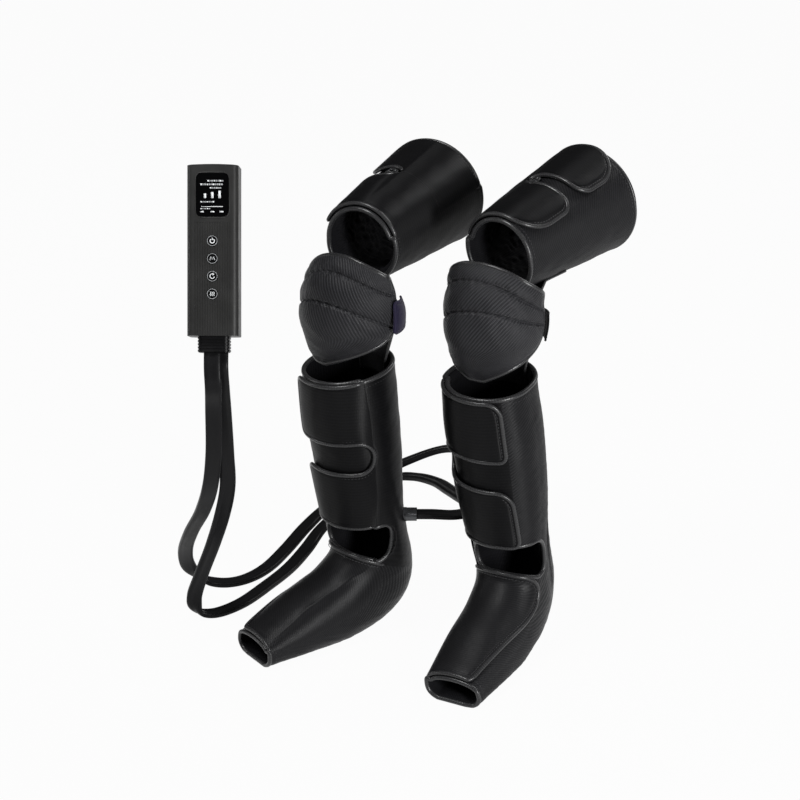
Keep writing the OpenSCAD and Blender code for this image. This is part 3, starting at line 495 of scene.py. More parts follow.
ROUTE = {
    "left": [[-178, -214, 372, 33], [-191, -201, 338, 33], [-207, -187, 273, 34],
             [-229, -172, 216, 38], [-262, -152, 165, 48], [-302, -132, 116, 56], [-336, -108, 70, 54],
             [-350, -88, 34, 35], [-340, -72, 11, -25], [-318, -57, 4.6, -50], [-300, -32, 4.6, -25],
             [-297, 10, 4.6, 0], [-303, 60, 10, 4], [-303, 106, 26, -5], [-289, 142, 48, -30],
             [-245, 172, 86, -50], [-193, 196, 120, -60], [-140, 212, 146, -85], [-85, 195, 160, -120],
             [-35, 152, 160, -135]],
    "right": [[-182, -195, 364, 33], [-194, -180, 323, 33], [-208, -163, 260, 34],
              [-219, -151, 211, 38], [-235, -146, 164, 50], [-254, -146, 116, 62], [-274, -148, 70, 62],
              [-287, -150, 34, 40], [-286, -146, 12, -10], [-272, -128, 4.6, -20], [-261, -88, 4.6, -5],
              [-264, -30, 4.6, 10], [-271, 26, 4.6, 6], [-278, 74, 12, 2], [-275, 108, 32, -25],
              [-246, 140, 68, -55], [-200, 168, 102, -72], [-158, 168, 116, -105], [-112, 152, 126, -122],
              [-72, 126, 134, -122], [-34, 100, 142, -122], [-2, 78, 149, -150], [8, 54, 153, -185],
              [-2, 31, 155, -215]]}
PORT_ANGLE, PORT_H, PORT_REACH, PORT_SLEEVE = 232, 157, 57, 16
# Half width and half thickness, 0.1 inside the CAD hose
HOSE_W, HOSE_T = 9.9, 3.9


def port_dir(leg):
    side, toe = LEG[leg][0], LEG[leg][3]
    a, b = math.sin(math.radians(PORT_ANGLE)), math.cos(math.radians(PORT_ANGLE))
    return math.degrees(math.atan2(-a, side * b)) + side * toe


def hose_route(leg):
    x, y = (-2, 20 - 4.2) if leg == "left" else (6, 20 + 4.2)
    end = -100 - 0.2 - 18.6 - 0.05
    h = port_dir(leg)
    out = np.array([math.cos(math.radians(h)), math.sin(math.radians(h)), 0])
    axis = stand(leg, np.array([0, -8, PORT_H]))
    rows = [[*ctl([x, y, end]), 33.5], [*ctl([x, y, end - 20]), 33.5]]
    rows += [[*(np.array(r[:3]) + HOME), r[3]] for r in ROUTE[leg]]
    rows += [[*(axis + out * (PORT_REACH + PORT_SLEEVE + gap)), h - 270] for gap in (20, 0.05)]
    return np.array(rows, float)


def dense(p, n):
    u = np.linspace(0, len(p) - 1, (len(p) - 1) * n + 1)
    i = np.minimum(u.astype(int), len(p) - 2)
    t = (u - i)[:, None]
    e = np.vstack([2 * p[0] - p[1], p, 2 * p[-1] - p[-2]])
    return spline(e[i], e[i + 1], e[i + 2], e[i + 3], t)


def hose(leg):
    q = dense(hose_route(leg), 10)
    c = q[:, :3]
    t = np.gradient(c, axis=0)
    t /= np.linalg.norm(t, axis=1)[:, None]
    w = np.stack([np.cos(np.radians(q[:, 3])), np.sin(np.radians(q[:, 3])), 0 * q[:, 3]], 1)
    w -= t * np.sum(w * t, 1)[:, None]
    w /= np.linalg.norm(w, axis=1)[:, None]
    n = np.cross(w, t)
    f = np.linspace(0, 2 * np.pi, 28, endpoint=False)
    x = HOSE_W * np.sign(np.cos(f)) * np.abs(np.cos(f)) ** 0.55
    y = HOSE_T * np.sign(np.sin(f)) * np.abs(np.sin(f)) ** 0.45
    y *= 1 - 0.34 * np.exp(-(x / 1.7) ** 2)
    ring = c[:, None] + x[None, :, None] * w[:, None] + y[None, :, None] * n[:, None]
    part = Part()
    s = run(c)
    N, K = ring.shape[:2]
    cells = [(i, k) for i in range(N - 1) for k in range(K)]
    faces = [(i * K + (k + 1) % K, i * K + k, (i + 1) * K + k, (i + 1) * K + (k + 1) % K) for i, k in cells]
    uvs = [[((k + 1) * 2, s[i]), (k * 2, s[i]), (k * 2, s[i + 1]), ((k + 1) * 2, s[i + 1])] for i, k in cells]
    faces += [tuple(range(K)), tuple((N - 1) * K + k for k in reversed(range(K)))]
    uvs += [[(0, 0)] * K] * 2
    part.add(ring, faces, 0, uvs)
    ob = part.make(leg + "_hose_tube", [HOSE])
    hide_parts(leg + "_hose")
    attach(ob, "leg_wraps")


for leg in LEG:
    hose(leg)

# ---- Leg wraps ----
U_TOP = boot_u(287)
U_NOTCH = boot_u(243)
U_LOW = boot_u(163)
SLOT = (boot_u(161), 3.55)
U_MID, U_HALF = (U_TOP + U_NOTCH) / 2, (U_NOTCH - U_TOP) / 2
FREE = {"right": 58.0, "left": 54.0}
BIND = 2.5
# The cover steps up to the surface past the flaps' roots; the calf slot rounds off between two angles
STEP = ROOT + 5
D_FROM, D_TO = 148.0, 172.0
# Ankle opening: lateral end, medial end at its top and at its bottom
OPENING = {"right": (58.0, 206.0, 184.0), "left": (-14.0, 141.0, 139.0)}


def corner(s, length, r0, r1):
    """Degrees a free end draws back at its two rounded corners; s runs 0 to 1 along the edge."""
    a = np.clip(1 - s * length / r0, 0, 1) if r0 > 0 else 0 * s
    b = np.clip(1 - (1 - s) * length / r1, 0, 1) if r1 > 0 else 0 * s
    return r0 * (1 - np.sqrt(1 - 0.998 * a ** 2)) + r1 * (1 - np.sqrt(1 - 0.998 * b ** 2))


def normals(fn, us, ths):
    us, ths = np.asarray(us, float), np.asarray(ths, float)
    d = fn(us, ths, 2.0) - fn(us, ths, 0.0)
    return d / (np.linalg.norm(d, axis=-1)[..., None] + 1e-9)


def cover_base(U, wrap):
    """Offset of the cover: low under the flaps, at the surface past their roots and the slot's end."""
    k = 1 - ((np.asarray(U, float) - U_MID) / U_HALF) ** 2
    edge = np.maximum(STEP, np.where(k > 0, D_FROM + (D_TO - D_FROM) * np.sqrt(np.maximum(k, 0)), STEP))
    low = np.where(wrap < 290, 1 - smooth(edge - 1.5, edge + 1.5, wrap), np.clip((wrap - 290) / 70, 0, 1))
    return UNDER * np.where(wrap < 0, np.clip((wrap + 70) / 70, 0, 1), low)


def flap(leg, name, surface, u0, u1, free0, free1, mat, seed, r0=10, r1=18, root=ROOT + 15,
         rows=48, cols=80, shut=None, puff=1.2, crease=None, bound=400):
    """A padded flap from its sewn root round to its rounded free end, with bound edges and a seam.
    shut = (which edge, u it shuts to, from angle, to angle): that edge curves in to end the slot.
    crease = (u, angle) lists of a ridge line; past the angle bound the last edge has no binding."""
    fn = partial(surface, leg)
    flip = (LEG[leg][0] < 0) != (surface is thigh)
    s = np.concatenate([[0, 0.006], np.linspace(0.02, 0.98, rows - 4), [0.994, 1]])
    span = np.linalg.norm(fn(u1, 90, 0) - fn(u0, 90, 0))
    free = free0 + (free1 - free0) * s + corner(s, span, r0, r1)
    t = np.linspace(0, 1, cols)
    th = root + (free[:, None] - root) * t[None, :]
    u = np.repeat((u0 + (u1 - u0) * s)[:, None], cols, 1)
    tight = np.zeros_like(th)
    if shut:
        edge_s, u_shut, a0, a1 = shut
        k = np.clip((th - a0) / (a1 - a0), 0, 1)
        tight = 1 - np.sqrt(1 - k ** 2 * 0.9999)
        w = s if edge_s else 1 - s
        u = u + (u_shut - (u1 if edge_s else u0)) * tight * w[:, None]
    base_p = fn(u, th, 0.0)
    x, y = spread(base_p)
    fade = 60 * (tight > 0.97)
    lo, hi = y + (fade if shut and not shut[0] else 0), y[-1:] - y + (fade if shut and shut[0] else 0)
    d = np.minimum.reduce([lo, hi, x[:, -1:] - x + 0 * x])
    fill = puff * (1 - np.exp(-np.maximum(d - 5, 0) / 9)) - 0.8 * np.exp(-((d - 5) / 1.3) ** 2)
    fill = fill + 0.55 * waves(x, y, seed, 70) * smooth(4, 20, d)
    if crease is not None:
        line = np.interp(u, *crease)
        fill = fill + 0.9 * np.exp(-np.abs(th - line) / 2.2) * smooth(0, 12, d)
    near, flat = smooth(7, 0, x), smooth(45, 14, x)
    outer = fn(u, th, (fill - 0.6) * (1 - flat) - 0.45 * flat - 1.2 * near)
    inner = fn(u, th, -FLAP_T + 0.4 + 0.6 * near)
    part = Part()
    part.slab(outer, inner, mats=(0, 2), flip=flip)
    us = np.concatenate([u[0, :-1], u[:, -1], u[-1, -2::-1]])
    ths = np.concatenate([th[0, :-1], free, th[-1, -2::-1]])
    thin = np.concatenate([tight[0, :-1] * (not shut or not shut[0]), 0 * s,
                           tight[-1, -2::-1] * bool(shut and shut[0])])
    sink = np.concatenate([smooth(16, 2, x[0, :-1]), 0 * s, smooth(16, 2, x[-1, -2::-1])])
    last = np.arange(len(ths)) >= len(ths) - cols + 1
    keep = (thin < 0.97) & (sink < 0.8) & ~(last & (ths > bound))
    edge = fn(us, ths, -FLAP_T / 2 + 0.4 - 1.4 * sink)[keep]
    nrm = normals(fn, us, ths)[keep]
    radius = BIND * (1 - 0.75 * thin ** 3) * (1 - 0.6 * sink)
    part.tube(edge, radius[keep], 1, flat=0.95, normal=nrm, sides=12)
    tang = np.gradient(edge, axis=0)
    tang /= np.linalg.norm(tang, axis=1)[:, None] + 1e-9
    side_dir = np.cross(nrm, tang)
    mid = len(edge) // 2
    if np.dot(side_dir[mid], outer[rows // 2, cols // 2] - edge[mid]) < 0:
        side_dir = -side_dir
    line = edge + side_dir * 4.6 + nrm * (FLAP_T / 2 - 1.6)
    part.stitches(line[6:-6], nrm[6:-6], 3)
    ob = part.make(f"{leg}_{name}_cloth", [mat, PIPING, KNIT, THREAD])
    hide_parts(f"{leg}_{name}")
    a, b = fn((u0 + u1) / 2, ROOT + 2, 0.0), fn((u0 + u1) / 2, ROOT - 3, 0.0)
    d = (b - a) / np.linalg.norm(b - a)
    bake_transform(ob)


def rounded_mask(U, TH, u0, u1, t0, t1, ru, rt):
    """True inside a rounded box in the sleeve's own coordinates."""
    dx = np.maximum(np.maximum(t0 + rt - TH, TH - (t1 - rt)), 0) / rt
    dy = np.maximum(np.maximum(u0 + ru - U, U - (u1 - ru)), 0) / ru
    inside = (TH > t0) & (TH < t1) & (U > u0) & (U < u1)
    return inside & (dx ** 2 + dy ** 2 < 1)


def rounded_loop(u0, u1, t0, t1, ru, rt, n=14):
    """The same outline as a closed path of (u, angle)."""
    out = []
    a = np.linspace(0, np.pi / 2, n)
    for cu, ct, ph in ((u1 - ru, t1 - rt, 0), (u1 - ru, t0 + rt, 1), (u0 + ru, t0 + rt, 2),
                       (u0 + ru, t1 - rt, 3)):
        f = a + ph * np.pi / 2
        out += [(cu + ru * math.sin(x), ct + rt * math.cos(x)) for x in f]
    out = np.array(out + [out[0]])
    s = np.concatenate([[0], np.cumsum(np.hypot(np.diff(out[:, 0]) * 90, np.diff(out[:, 1])))])
    k = np.linspace(0, s[-1], 160)[:-1]
    return np.interp(k, s, out[:, 0]), np.interp(k, s, out[:, 1])


def slant(leg, U, TH, back=False):
    """Squares the opening's slanted medial end, or slants a squared one back again."""
    t_top, t_low = OPENING[leg][1:]
    f = np.clip((U - SLOT[0]) / (SLOT[1] - SLOT[0]), 0, 1)
    k = (t_top + (t_low - t_top) * f - 90) / (t_top - 90)
    return np.where(TH > 90, 90 + (TH - 90) * (k if back else 1 / k), TH)


def boot_body(leg):
    side = LEG[leg][0]
    slot_lo, slot_hi, t_lo, t_hi = SLOT[0], SLOT[1], *OPENING[leg][:2]
    ru, rt = (slot_hi - slot_lo) * 0.49, 30
    u = np.unique(np.concatenate([np.linspace(0, 2.6, 80), np.linspace(2.6, 4.2, 90),
                                  np.linspace(4.2, 7, 90), [slot_lo, slot_hi]]))
    th = np.linspace(0, 360, 160, endpoint=False) - 30
    U, TH = np.meshgrid(u, th, indexing="ij")
    wrap = (TH + 30) % 360 - 30
    base = cover_base(U, wrap)
    p0 = boot(leg, U, TH, 0.0)
    x, y = spread(p0)
    rim = np.minimum(y, y[-1:] - y)
    loop_u, loop_t = rounded_loop(slot_lo, slot_hi, t_lo, t_hi, ru, rt)
    loop_t = slant(leg, loop_u, loop_t, True)
    UC, WC = (U[:-1] + U[1:]) / 2, wrap[:-1] + 180 / len(th)
    hole = rounded_mask(UC, slant(leg, UC, WC), slot_lo, slot_hi, t_lo, t_hi, ru, rt)
    loop_p = boot(leg, loop_u, loop_t, -8.0)
    region = (U > 2.4) & (U < 4.4)
    d_slot = np.full(U.shape, 99.0)
    pts = p0[region]
    dist = np.full(len(pts), 99.0)
    for q in loop_p[::3]:
        dist = np.minimum(dist, np.linalg.norm(pts - q, axis=1))
    d_slot[region] = dist
    edge = np.minimum(rim, d_slot - 7)
    thin = smooth(9, 0, edge)
    back = smooth(175, 205, wrap) * smooth(345, 300, wrap)
    wr = waves(x, y, 11 if side > 0 else 23, 90) * 0.7 + waves(x, y * 2.2, 5 if side > 0 else 6, 46) * 0.35
    wr = wr * (1 - smooth(150, 166, wrap) * smooth(192, 176, wrap))
    full = 6.5 * np.exp(-((U - 3.1) / 0.6) ** 2) * back
    outer_off = base - 0.5 * thin + full + (wr - 0.5) * smooth(2, 14, edge)
    inner_off = LINING_IN - 0.2 + (base - 4.6 - LINING_IN) * thin
    inner_off = np.minimum(inner_off, outer_off - 1.2)
    outer = boot(leg, U, TH, outer_off)
    inner = boot(leg, U, TH, inner_off)
    part = Part()
    satin = ((wrap > 50) & (wrap < 271) & (U < 3.6))[:-1]
    part.slab(outer, inner, ring=True, keep=~hole, mats=(0, 2), flip=side < 0, satin=satin)
    fn = partial(boot, leg)

    def base_at(tt):
        return cover_base(0.0, (np.asarray(tt, float) + 30) % 360 - 30)
    around = np.linspace(0, 360, 180, endpoint=False)
    for uu, r in ((0.0, 3.0), (7.0, 2.8)):
        us = np.full(len(around), uu)
        part.tube(fn(us, around, base_at(around) - 2.3), r, 1, closed=True,
                  normal=normals(fn, us, around), sides=12)
        us2 = us + (0.09 if uu == 0 else -0.12)
        nn = normals(fn, us2, around)
        line = fn(us2, around, base_at(around) - 0.55)
        part.stitches(line, nn, 3)
    part.tube(fn(loop_u, loop_t, base_at(loop_t) - 2.0), 2.8, 1, closed=True,
              normal=normals(fn, loop_u, loop_t), sides=12)
    # round end of the slot between the calf flaps
    ph = np.radians(np.linspace(-68, 68, 50))
    du, dt = U_MID + U_HALF * np.sin(ph), D_FROM + (D_TO - D_FROM) * np.cos(ph)
    part.tube(fn(du, dt, -2.0), BIND, 1, normal=normals(fn, du, dt), sides=12)
    # heel seam down the back of the calf and round the heel
    hu = np.linspace(0.08, 4.4, 160)
    ht = np.full(160, 272.0)
    part.tube(fn(hu, ht, -0.35), 0.9, 1, sides=8)
    for dt in (-3.2, 3.2):
        part.stitches(fn(hu, ht + dt, -0.25), normals(fn, hu, ht + dt), 3)
    ob = part.make(leg + "_boot_cloth", [TWILL, PIPING, KNIT, THREAD, SMOOTH])
    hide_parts(*[f"{leg}_{k}" for k in ("boot_cover", "boot_lining", "calf_bladder", "foot_bladder")])
    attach(ob, "leg_wraps")


def thigh_body(leg):
    side = LEG[leg][0]
    u = np.linspace(0, 2, 110)
    th = np.linspace(0, 360, 150, endpoint=False) - 30
    U, TH = np.meshgrid(u, th, indexing="ij")
    wrap = (TH + 30) % 360 - 30
    base = cover_base(9, wrap)
    y = U * 96
    x = np.radians(TH) * 60
    edge = np.minimum(y, 192 - y)
    thin = smooth(10, 0, edge)
    wr = 0.8 * waves(x, y, 31 if side > 0 else 37, 80) + 0.35 * waves(x * 1.8, y, 7, 50)
    wr = wr * (1 - smooth(150, 166, wrap) * smooth(192, 176, wrap))
    folds = np.abs(waves(x, y, 12, 42)) + 0.5 * np.abs(waves(x * 1.6, y, 14, 26))
    outer_off = base - 0.5 * thin + (wr - 0.5) * smooth(1, 14, edge)
    inner_off = np.minimum(LINING_IN - 0.2 + (base - 4.6 - LINING_IN) * thin
                           - 4.5 * folds * smooth(3, 24, edge), outer_off - 1.2)
    part = Part()
    satin = ((wrap > 50) & (wrap < 300))[:-1] if leg == "right" else None
    part.slab(thigh(leg, U, TH, outer_off), thigh(leg, U, TH, inner_off), ring=True, mats=(0, 2),
              flip=side > 0, satin=satin)
    fn = partial(thigh, leg)
    around = np.linspace(0, 360, 180, endpoint=False)
    rim = cover_base(9, around)
    for uu, r in ((0.0, 2.8), (2.0, 2.6)):
        us = np.full(len(around), uu)
        part.tube(fn(us, around, rim - 2.3), r, 1, closed=True, normal=normals(fn, us, around), sides=12)
        us2 = us + (0.06 if uu == 0 else -0.06)
        part.stitches(fn(us2, around, rim - 0.5), normals(fn, us2, around), 3)
    # two small rings of binding in the slot between the thigh flaps
    at = {"right": 84, "left": 107}[leg]
    a = np.linspace(0, 2 * np.pi, 40, endpoint=False)
    for r, lift in ((7.5, 2.2), (4.6, 3.4)):
        ru, rt = 1 + r * np.cos(a) / 96, at + np.degrees(r * np.sin(a) / 62)
        part.tube(fn(ru, rt, UNDER + lift), 1.5, 1, closed=True, normal=normals(fn, ru, rt), sides=8)
    ob = part.make(leg + "_thigh_cloth", [TWILL, PIPING, KNIT, THREAD, SMOOTH])
    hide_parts(*[f"{leg}_{k}" for k in ("thigh_cover", "thigh_lining", "thigh_bladder")])
    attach(ob, leg + "_thigh_wrap")


# Top edge and middle seam of each knee pad, from its lateral to its medial end
PAD_TOP = {"right": [0.9, 0.82, 0.25, 0, 0, 0], "left": [0.46, 0.28, 0.05, 0, 0.2, 0.6]}
PAD_SEAM = {"right": [2.3, 2.2, 2.0, 1.85, 2.0], "left": [1.63, 1.72, 1.85, 2.07, 2.25]}
PAD_INSET = {"right": 0.0, "left": 5.5}
PAD_DOME = {"right": 3.0, "left": 1.2}


def along(values, t):
    return station([[v] for v in values], np.asarray(t, float) * (len(values) - 1))[..., 0]


def knee_pad(leg):
    side = LEG[leg][0]

    def fn(k, t, off):
        top = along(PAD_TOP[leg], t)
        uu = top + (4 - top) * k
        th = pad_angle(uu, t)
        side_way = np.cos(np.radians(th)) ** 2 * smooth(0.2, 1.0, uu) * smooth(3.9, 2.6, uu)
        wide = 6.0 * smooth(0.72, 1.0, t) * smooth(1.6, 0.3, uu) if leg == "right" else 0
        return pad(leg, uu, th, off + wide - PAD_INSET[leg] * side_way)
    k = np.linspace(0, 1, 130)
    t = np.linspace(0, 1, 150)
    K, T = np.meshgrid(k, t, indexing="ij")
    top = along(PAD_TOP[leg], T)
    p0 = fn(K, T, 0.0)
    x, y = spread(p0)
    band = 22.0
    seam = (along(PAD_SEAM[leg], T[0]) - top[0]) * PAD_STEP * 1.04
    d_edge = np.minimum.reduce([y, y[-1:] - y, x, x[:, -1:] - x])
    d_seams = np.minimum(np.abs(y - band), np.abs(y - seam))
    dome = PAD_DOME[leg] * smooth(band - 12, band + 40, y) * smooth(seam, seam - 30, y)
    fill = (2.4 + dome) * (1 - np.exp(-d_seams / 7)) * smooth(0, 16, d_edge)
    fill = fill - 2.0 * np.exp(-(d_seams / 1.4) ** 2)
    pucker = 0.8 * np.sin(x / 1.9 + 1.3 * np.sin(x / 9)) * np.exp(-d_seams / 4.5)
    folds = 0.8 * waves(x, y, 51 + side, 55) + 0.5 * waves(x, y, 61 + side, 24) * np.exp(-d_seams / 18)
    outer = fn(K, T, -0.9 + (fill + folds + pucker) * smooth(0, 6, d_edge))
    inner = fn(K, T, -6.6 - 0.2 * smooth(0, 10, d_edge))
    part = Part()
    part.slab(outer, inner, mats=(0, 2), flip=side < 0)
    loop_k = np.concatenate([0 * t[:-1], k[:-1], 0 * t[:-1] + 1, k[:0:-1]])
    loop_t = np.concatenate([t[:-1], 0 * k[:-1] + 1, t[:0:-1], 0 * k[:-1]])
    step = np.linalg.norm(np.diff(fn(loop_k, loop_t, 0.0), axis=0), axis=1)
    keep = np.concatenate([[True], np.diff((np.cumsum(step) / 1.3).astype(int), prepend=0) > 0])
    loop_k, loop_t = loop_k[keep], loop_t[keep]
    part.tube(fn(loop_k, loop_t, -3.2), 2.9, 1, closed=True, normal=normals(fn, loop_k, loop_t), sides=12)
    row = np.linspace(0.015, 0.985, 160)
    low = np.interp(row, t, seam)
    for level in (band + 0 * row, low):
        for dz in (-3.0, 3.0):
            ks = np.array([np.interp(v + dz, y[:, int(c * 149)], k) for v, c in zip(level, row)])
            part.stitches(fn(ks, row, -0.6), normals(fn, ks, row), 3, pitch=3.6, length=2.4, r=0.5)
    ob = part.make(leg + "_knee_pad_cloth", [PADCLOTH, PIPING, KNIT, THREAD])
    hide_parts(*[f"{leg}_{k}" for k in ("knee_pad", "knee_heater", "knee_lining")])
    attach(ob, leg + "_knee_pad")


def strap(leg):
    side = LEG[leg][0]
    for name, a0, a1, out, thick, h, mid, mats in (
            ("knee_strap", 208.5, 343.5, -0.1, 2.3, STRAP_HALF, 1.9, (LOOP, PIPING)),
            ("strap_tab", 190, 232, 8.0, 2.8, STRAP_HALF + 0.12, 1.7, (HOOK, HOOK))):
        u = np.linspace(mid - h, mid + h, 16)
        t = np.linspace(a0, a1, 70)
        s = np.linspace(0, 1, 16)
        ends = corner(s, 2 * h * PAD_STEP, 6, 6) if name == "strap_tab" else 0 * s
        T = (a0 + ends)[:, None] + (t[None, :] - a0) * ((a1 - a0 - ends) / (a1 - a0))[:, None]
        U = np.repeat(u[:, None], 70, 1)
        wav = 0.3 * np.sin(T / 6.0) * (0.4 + np.abs(2 * s - 1)[:, None] ** 2)
        part = Part()
        part.slab(pad(leg, U, T, out + wav * 0.4 - 0.3), pad(leg, U, T, out - thick + wav * 0.4),
                  flip=side < 0, mats=(0, 0))
        fn = partial(pad, leg)
        for k in (0, -1):
            part.tube(fn(U[k], T[k], out - thick / 2), 1.45, 1, sides=8)
            inset = mid + (U[k] - mid) * 0.84
            part.stitches(fn(inset, T[k], out - 0.25), normals(fn, inset, T[k]), 2)
        part.tube(fn(U[:, 0], T[:, 0], out - thick / 2), 1.45, 1, sides=8)
        ob = part.make(f"{leg}_{name}_cloth", [mats[0], mats[1], THREAD])
        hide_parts(f"{leg}_{name}")
        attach(ob, leg + "_knee_strap")


def back_link(leg):
    side = LEG[leg][0]
    j = np.linspace(0, 1, 30)
    lows = [232, 232, 232, 236, 244, 258, 262]
    key = []
    for depth in (0.0, 2.5):
        cols = []
        for row, a_lo in enumerate(lows):
            a = a_lo + (304 - a_lo) * j
            low = UNDER * np.clip((a - 290) / 70, 0, 1)
            if row < 2:
                cols.append(boot(leg, (0.35, 0.02)[row], a, LINING_IN - SLIP - depth))
            elif row < 5:
                cols.append(pad(leg, (1.9 + STRAP_HALF, 1.9, 1.85 - STRAP_HALF)[row - 2], a,
                                -2.5 - LIFT - depth))
            else:
                cols.append(thigh(leg, (0.45, 0.85)[row - 5], a, low + (1.2, 0.6)[row - 5] - depth * 0.6))
        k = np.array(cols)
        s = np.linspace(0, 6, 60)
        i = np.minimum(s.astype(int), 5)
        f = (s - i)[:, None, None]
        key.append(k[i] * (1 - f) + k[i + 1] * f)
    part = Part()
    part.slab(key[0], key[1], mats=(0, 0), flip=side > 0)
    mid = (key[0] + key[1]) / 2
    for j in (0, -1):
        part.tube(mid[:, j], 1.7, 1, sides=8)
    ob = part.make(leg + "_back_link_cloth", [TWILL, PIPING])
    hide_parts(leg + "_back_link")
    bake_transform(ob)


# The right foot's ridge: stations and angles
RIDGE = ([3.6, 4.6, 5.0, 5.5, 6.0, 7.0], [158, 134, 130, 126, 126, 140])
for leg in LEG:
    seed = 100 if leg == "left" else 200
    boot_body(leg)
    thigh_body(leg)
    free = FREE[leg]
    flap(leg, "calf_upper_flap", boot, U_TOP, 0.015, free, free, SMOOTH, seed + 1, 9, 18,
         shut=(0, U_MID - 0.002, D_FROM, D_TO))
    flap(leg, "calf_lower_flap", boot, U_LOW, U_NOTCH, free - 6, free, SMOOTH, seed + 2, 10, 20,
         shut=(1, U_MID + 0.002, D_FROM, D_TO))
    ridge, bound = (RIDGE, 400) if leg == "right" else (None, 143)
    flap(leg, "foot_flap", boot, 6.985, 3.6, 54, 2, FOOTCLOTH, seed + 3, 8, 46, rows=110,
         root=190, crease=ridge, bound=bound)
    knee_free, knee_r, hip_r, end = (24, 5, 24, 98) if leg == "right" else (34, 42, 44, 116)
    flap(leg, "thigh_lower_flap", thigh, 0.875, 0.03, 38, knee_free, SMOOTH, seed + 4,
         16, knee_r, shut=(0, 0.9995, end - 18, end))
    flap(leg, "thigh_upper_flap", thigh, 1.98, 1.125, 44, 44, SMOOTH, seed + 5,
         hip_r, 20, shut=(1, 1.0005, end - 18, end))
    knee_pad(leg)
    strap(leg)
    back_link(leg)

# ---- Controller: CAD nodes keep their shape and get finished materials ----
CASE = plastic("case_plastic", (0.019, 0.019, 0.0186), 0.42, grain=0.25, scale=3000, spec=0.3)
GLOSS = material("window_gloss", (0.0012, 0.0012, 0.0014), rough=0.08, spec=0.15, coat=0.1, coat_rough=0.05)
COLLAR = plastic("collar_plastic", (0.0045, 0.0045, 0.005), 0.4, grain=0.2, spec=0.2)
BUTTON = plastic("button_plastic", (0.003, 0.003, 0.0033), 0.3, grain=0.05, spec=0.2)
WHITE = material("display_white", (0.75, 0.77, 0.78), rough=0.5)
GREY = material("display_grey", (0.35, 0.36, 0.37), rough=0.5)
BOARD = plastic("board_green", (0.010, 0.075, 0.030), 0.35, grain=0.3, scale=600, coat=0.4)
STEEL = plastic("drawn_steel", (0.52, 0.53, 0.55), 0.3, grain=0.1, scale=900, metal=1.0)
VALVE = plastic("valve_plastic", (0.10, 0.11, 0.13), 0.45)
CELL = plastic("cell_wrap", (0.020, 0.10, 0.33), 0.25, grain=0.05, coat=0.5)
DISPLAY = material("display_glass", (0.010, 0.012, 0.016), rough=0.15, coat=0.5)
PORT = plastic("port_plastic", (0.06, 0.062, 0.066), 0.28, grain=0.1, metal=0.4)
dress = {"controller_front_shell": CASE, "controller_back_shell": CASE, "display_window": GLOSS,
         "display_module": DISPLAY, "power_button": BUTTON, "mode_button": BUTTON, "strength_button": BUTTON,
         "heat_button": BUTTON, "main_board": BOARD, "air_pump": STEEL, "air_valves": VALVE,
         "battery_pack": CELL, "hose_socket": COLLAR, "charge_socket": STEEL, "case_screws": STEEL,
         "hose_plug": COLLAR, "right_air_port": PORT, "left_air_port": PORT}
for node, mt in dress.items():
    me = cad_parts[node].data
    for k in range(max(1, len(me.materials))):
        if k < len(me.materials):
            me.materials[k] = mt
        else:
            me.materials.append(mt)


def plate(part, x0, z0, x1, z1, y, mat=0, t=0.12, r=0.0):
    """A thin raised mark on the controller's face, in the controller's own millimetres."""
    r = min(r, (x1 - x0) / 2 - 0.001, (z1 - z0) / 2 - 0.001)
    pts = []
    for cx, cz, ph in ((x1 - r, z1 - r, 0), (x0 + r, z1 - r, 1), (x0 + r, z0 + r, 2), (x1 - r, z0 + r, 3)):
        for a in (np.linspace(0, 90, 5) if r > 0 else [45]):
            f = math.radians(a + ph * 90)
            pts.append((cx + r * math.cos(f), cz + r * math.sin(f)))
    n = len(pts)
    front = ctl(np.array([(x, y - t, z) for x, z in pts]))
    rear = ctl(np.array([(x, y, z) for x, z in pts]))
    faces = [tuple(range(n)), tuple(reversed(range(n, 2 * n)))]
    faces += [(i, n + i, n + (i + 1) % n, (i + 1) % n) for i in range(n)]
    part.add(np.concatenate([front, rear]), faces, mat, [[(0, 0)] * len(f) for f in faces])


def ring_mark(part, x, z, r, w, y, mat=0, a0=0, a1=360, t=0.12):
    """A thin raised ring or arc on the controller's face."""
    n = max(8, int((a1 - a0) / 7.5))
    closed = a1 - a0 >= 360
    f = np.radians(np.linspace(a0, a1, n + 1))
    if closed:
        f = f[:-1]
    corners = ((r - w / 2, y - t), (r + w / 2, y - t), (r + w / 2, y), (r - w / 2, y))
    v = [(x + q * np.cos(f), np.full(len(f), yy), z + q * np.sin(f)) for q, yy in corners]
    p = np.concatenate([ctl(np.stack(a, 1)) for a in v])
    L = len(f)
    faces = []
    for i in range(L if closed else L - 1):
        j = (i + 1) % L
        for a, b in ((0, 1), (1, 2), (2, 3), (3, 0)):
            faces.append((a * L + i, b * L + i, b * L + j, a * L + j))
    if not closed:
        faces += [(0, L, 2 * L, 3 * L), (3 * L + L - 1, 2 * L + L - 1, L + L - 1, L - 1)]
    part.add(p, faces, mat, [[(0, 0)] * 4 for _ in faces])


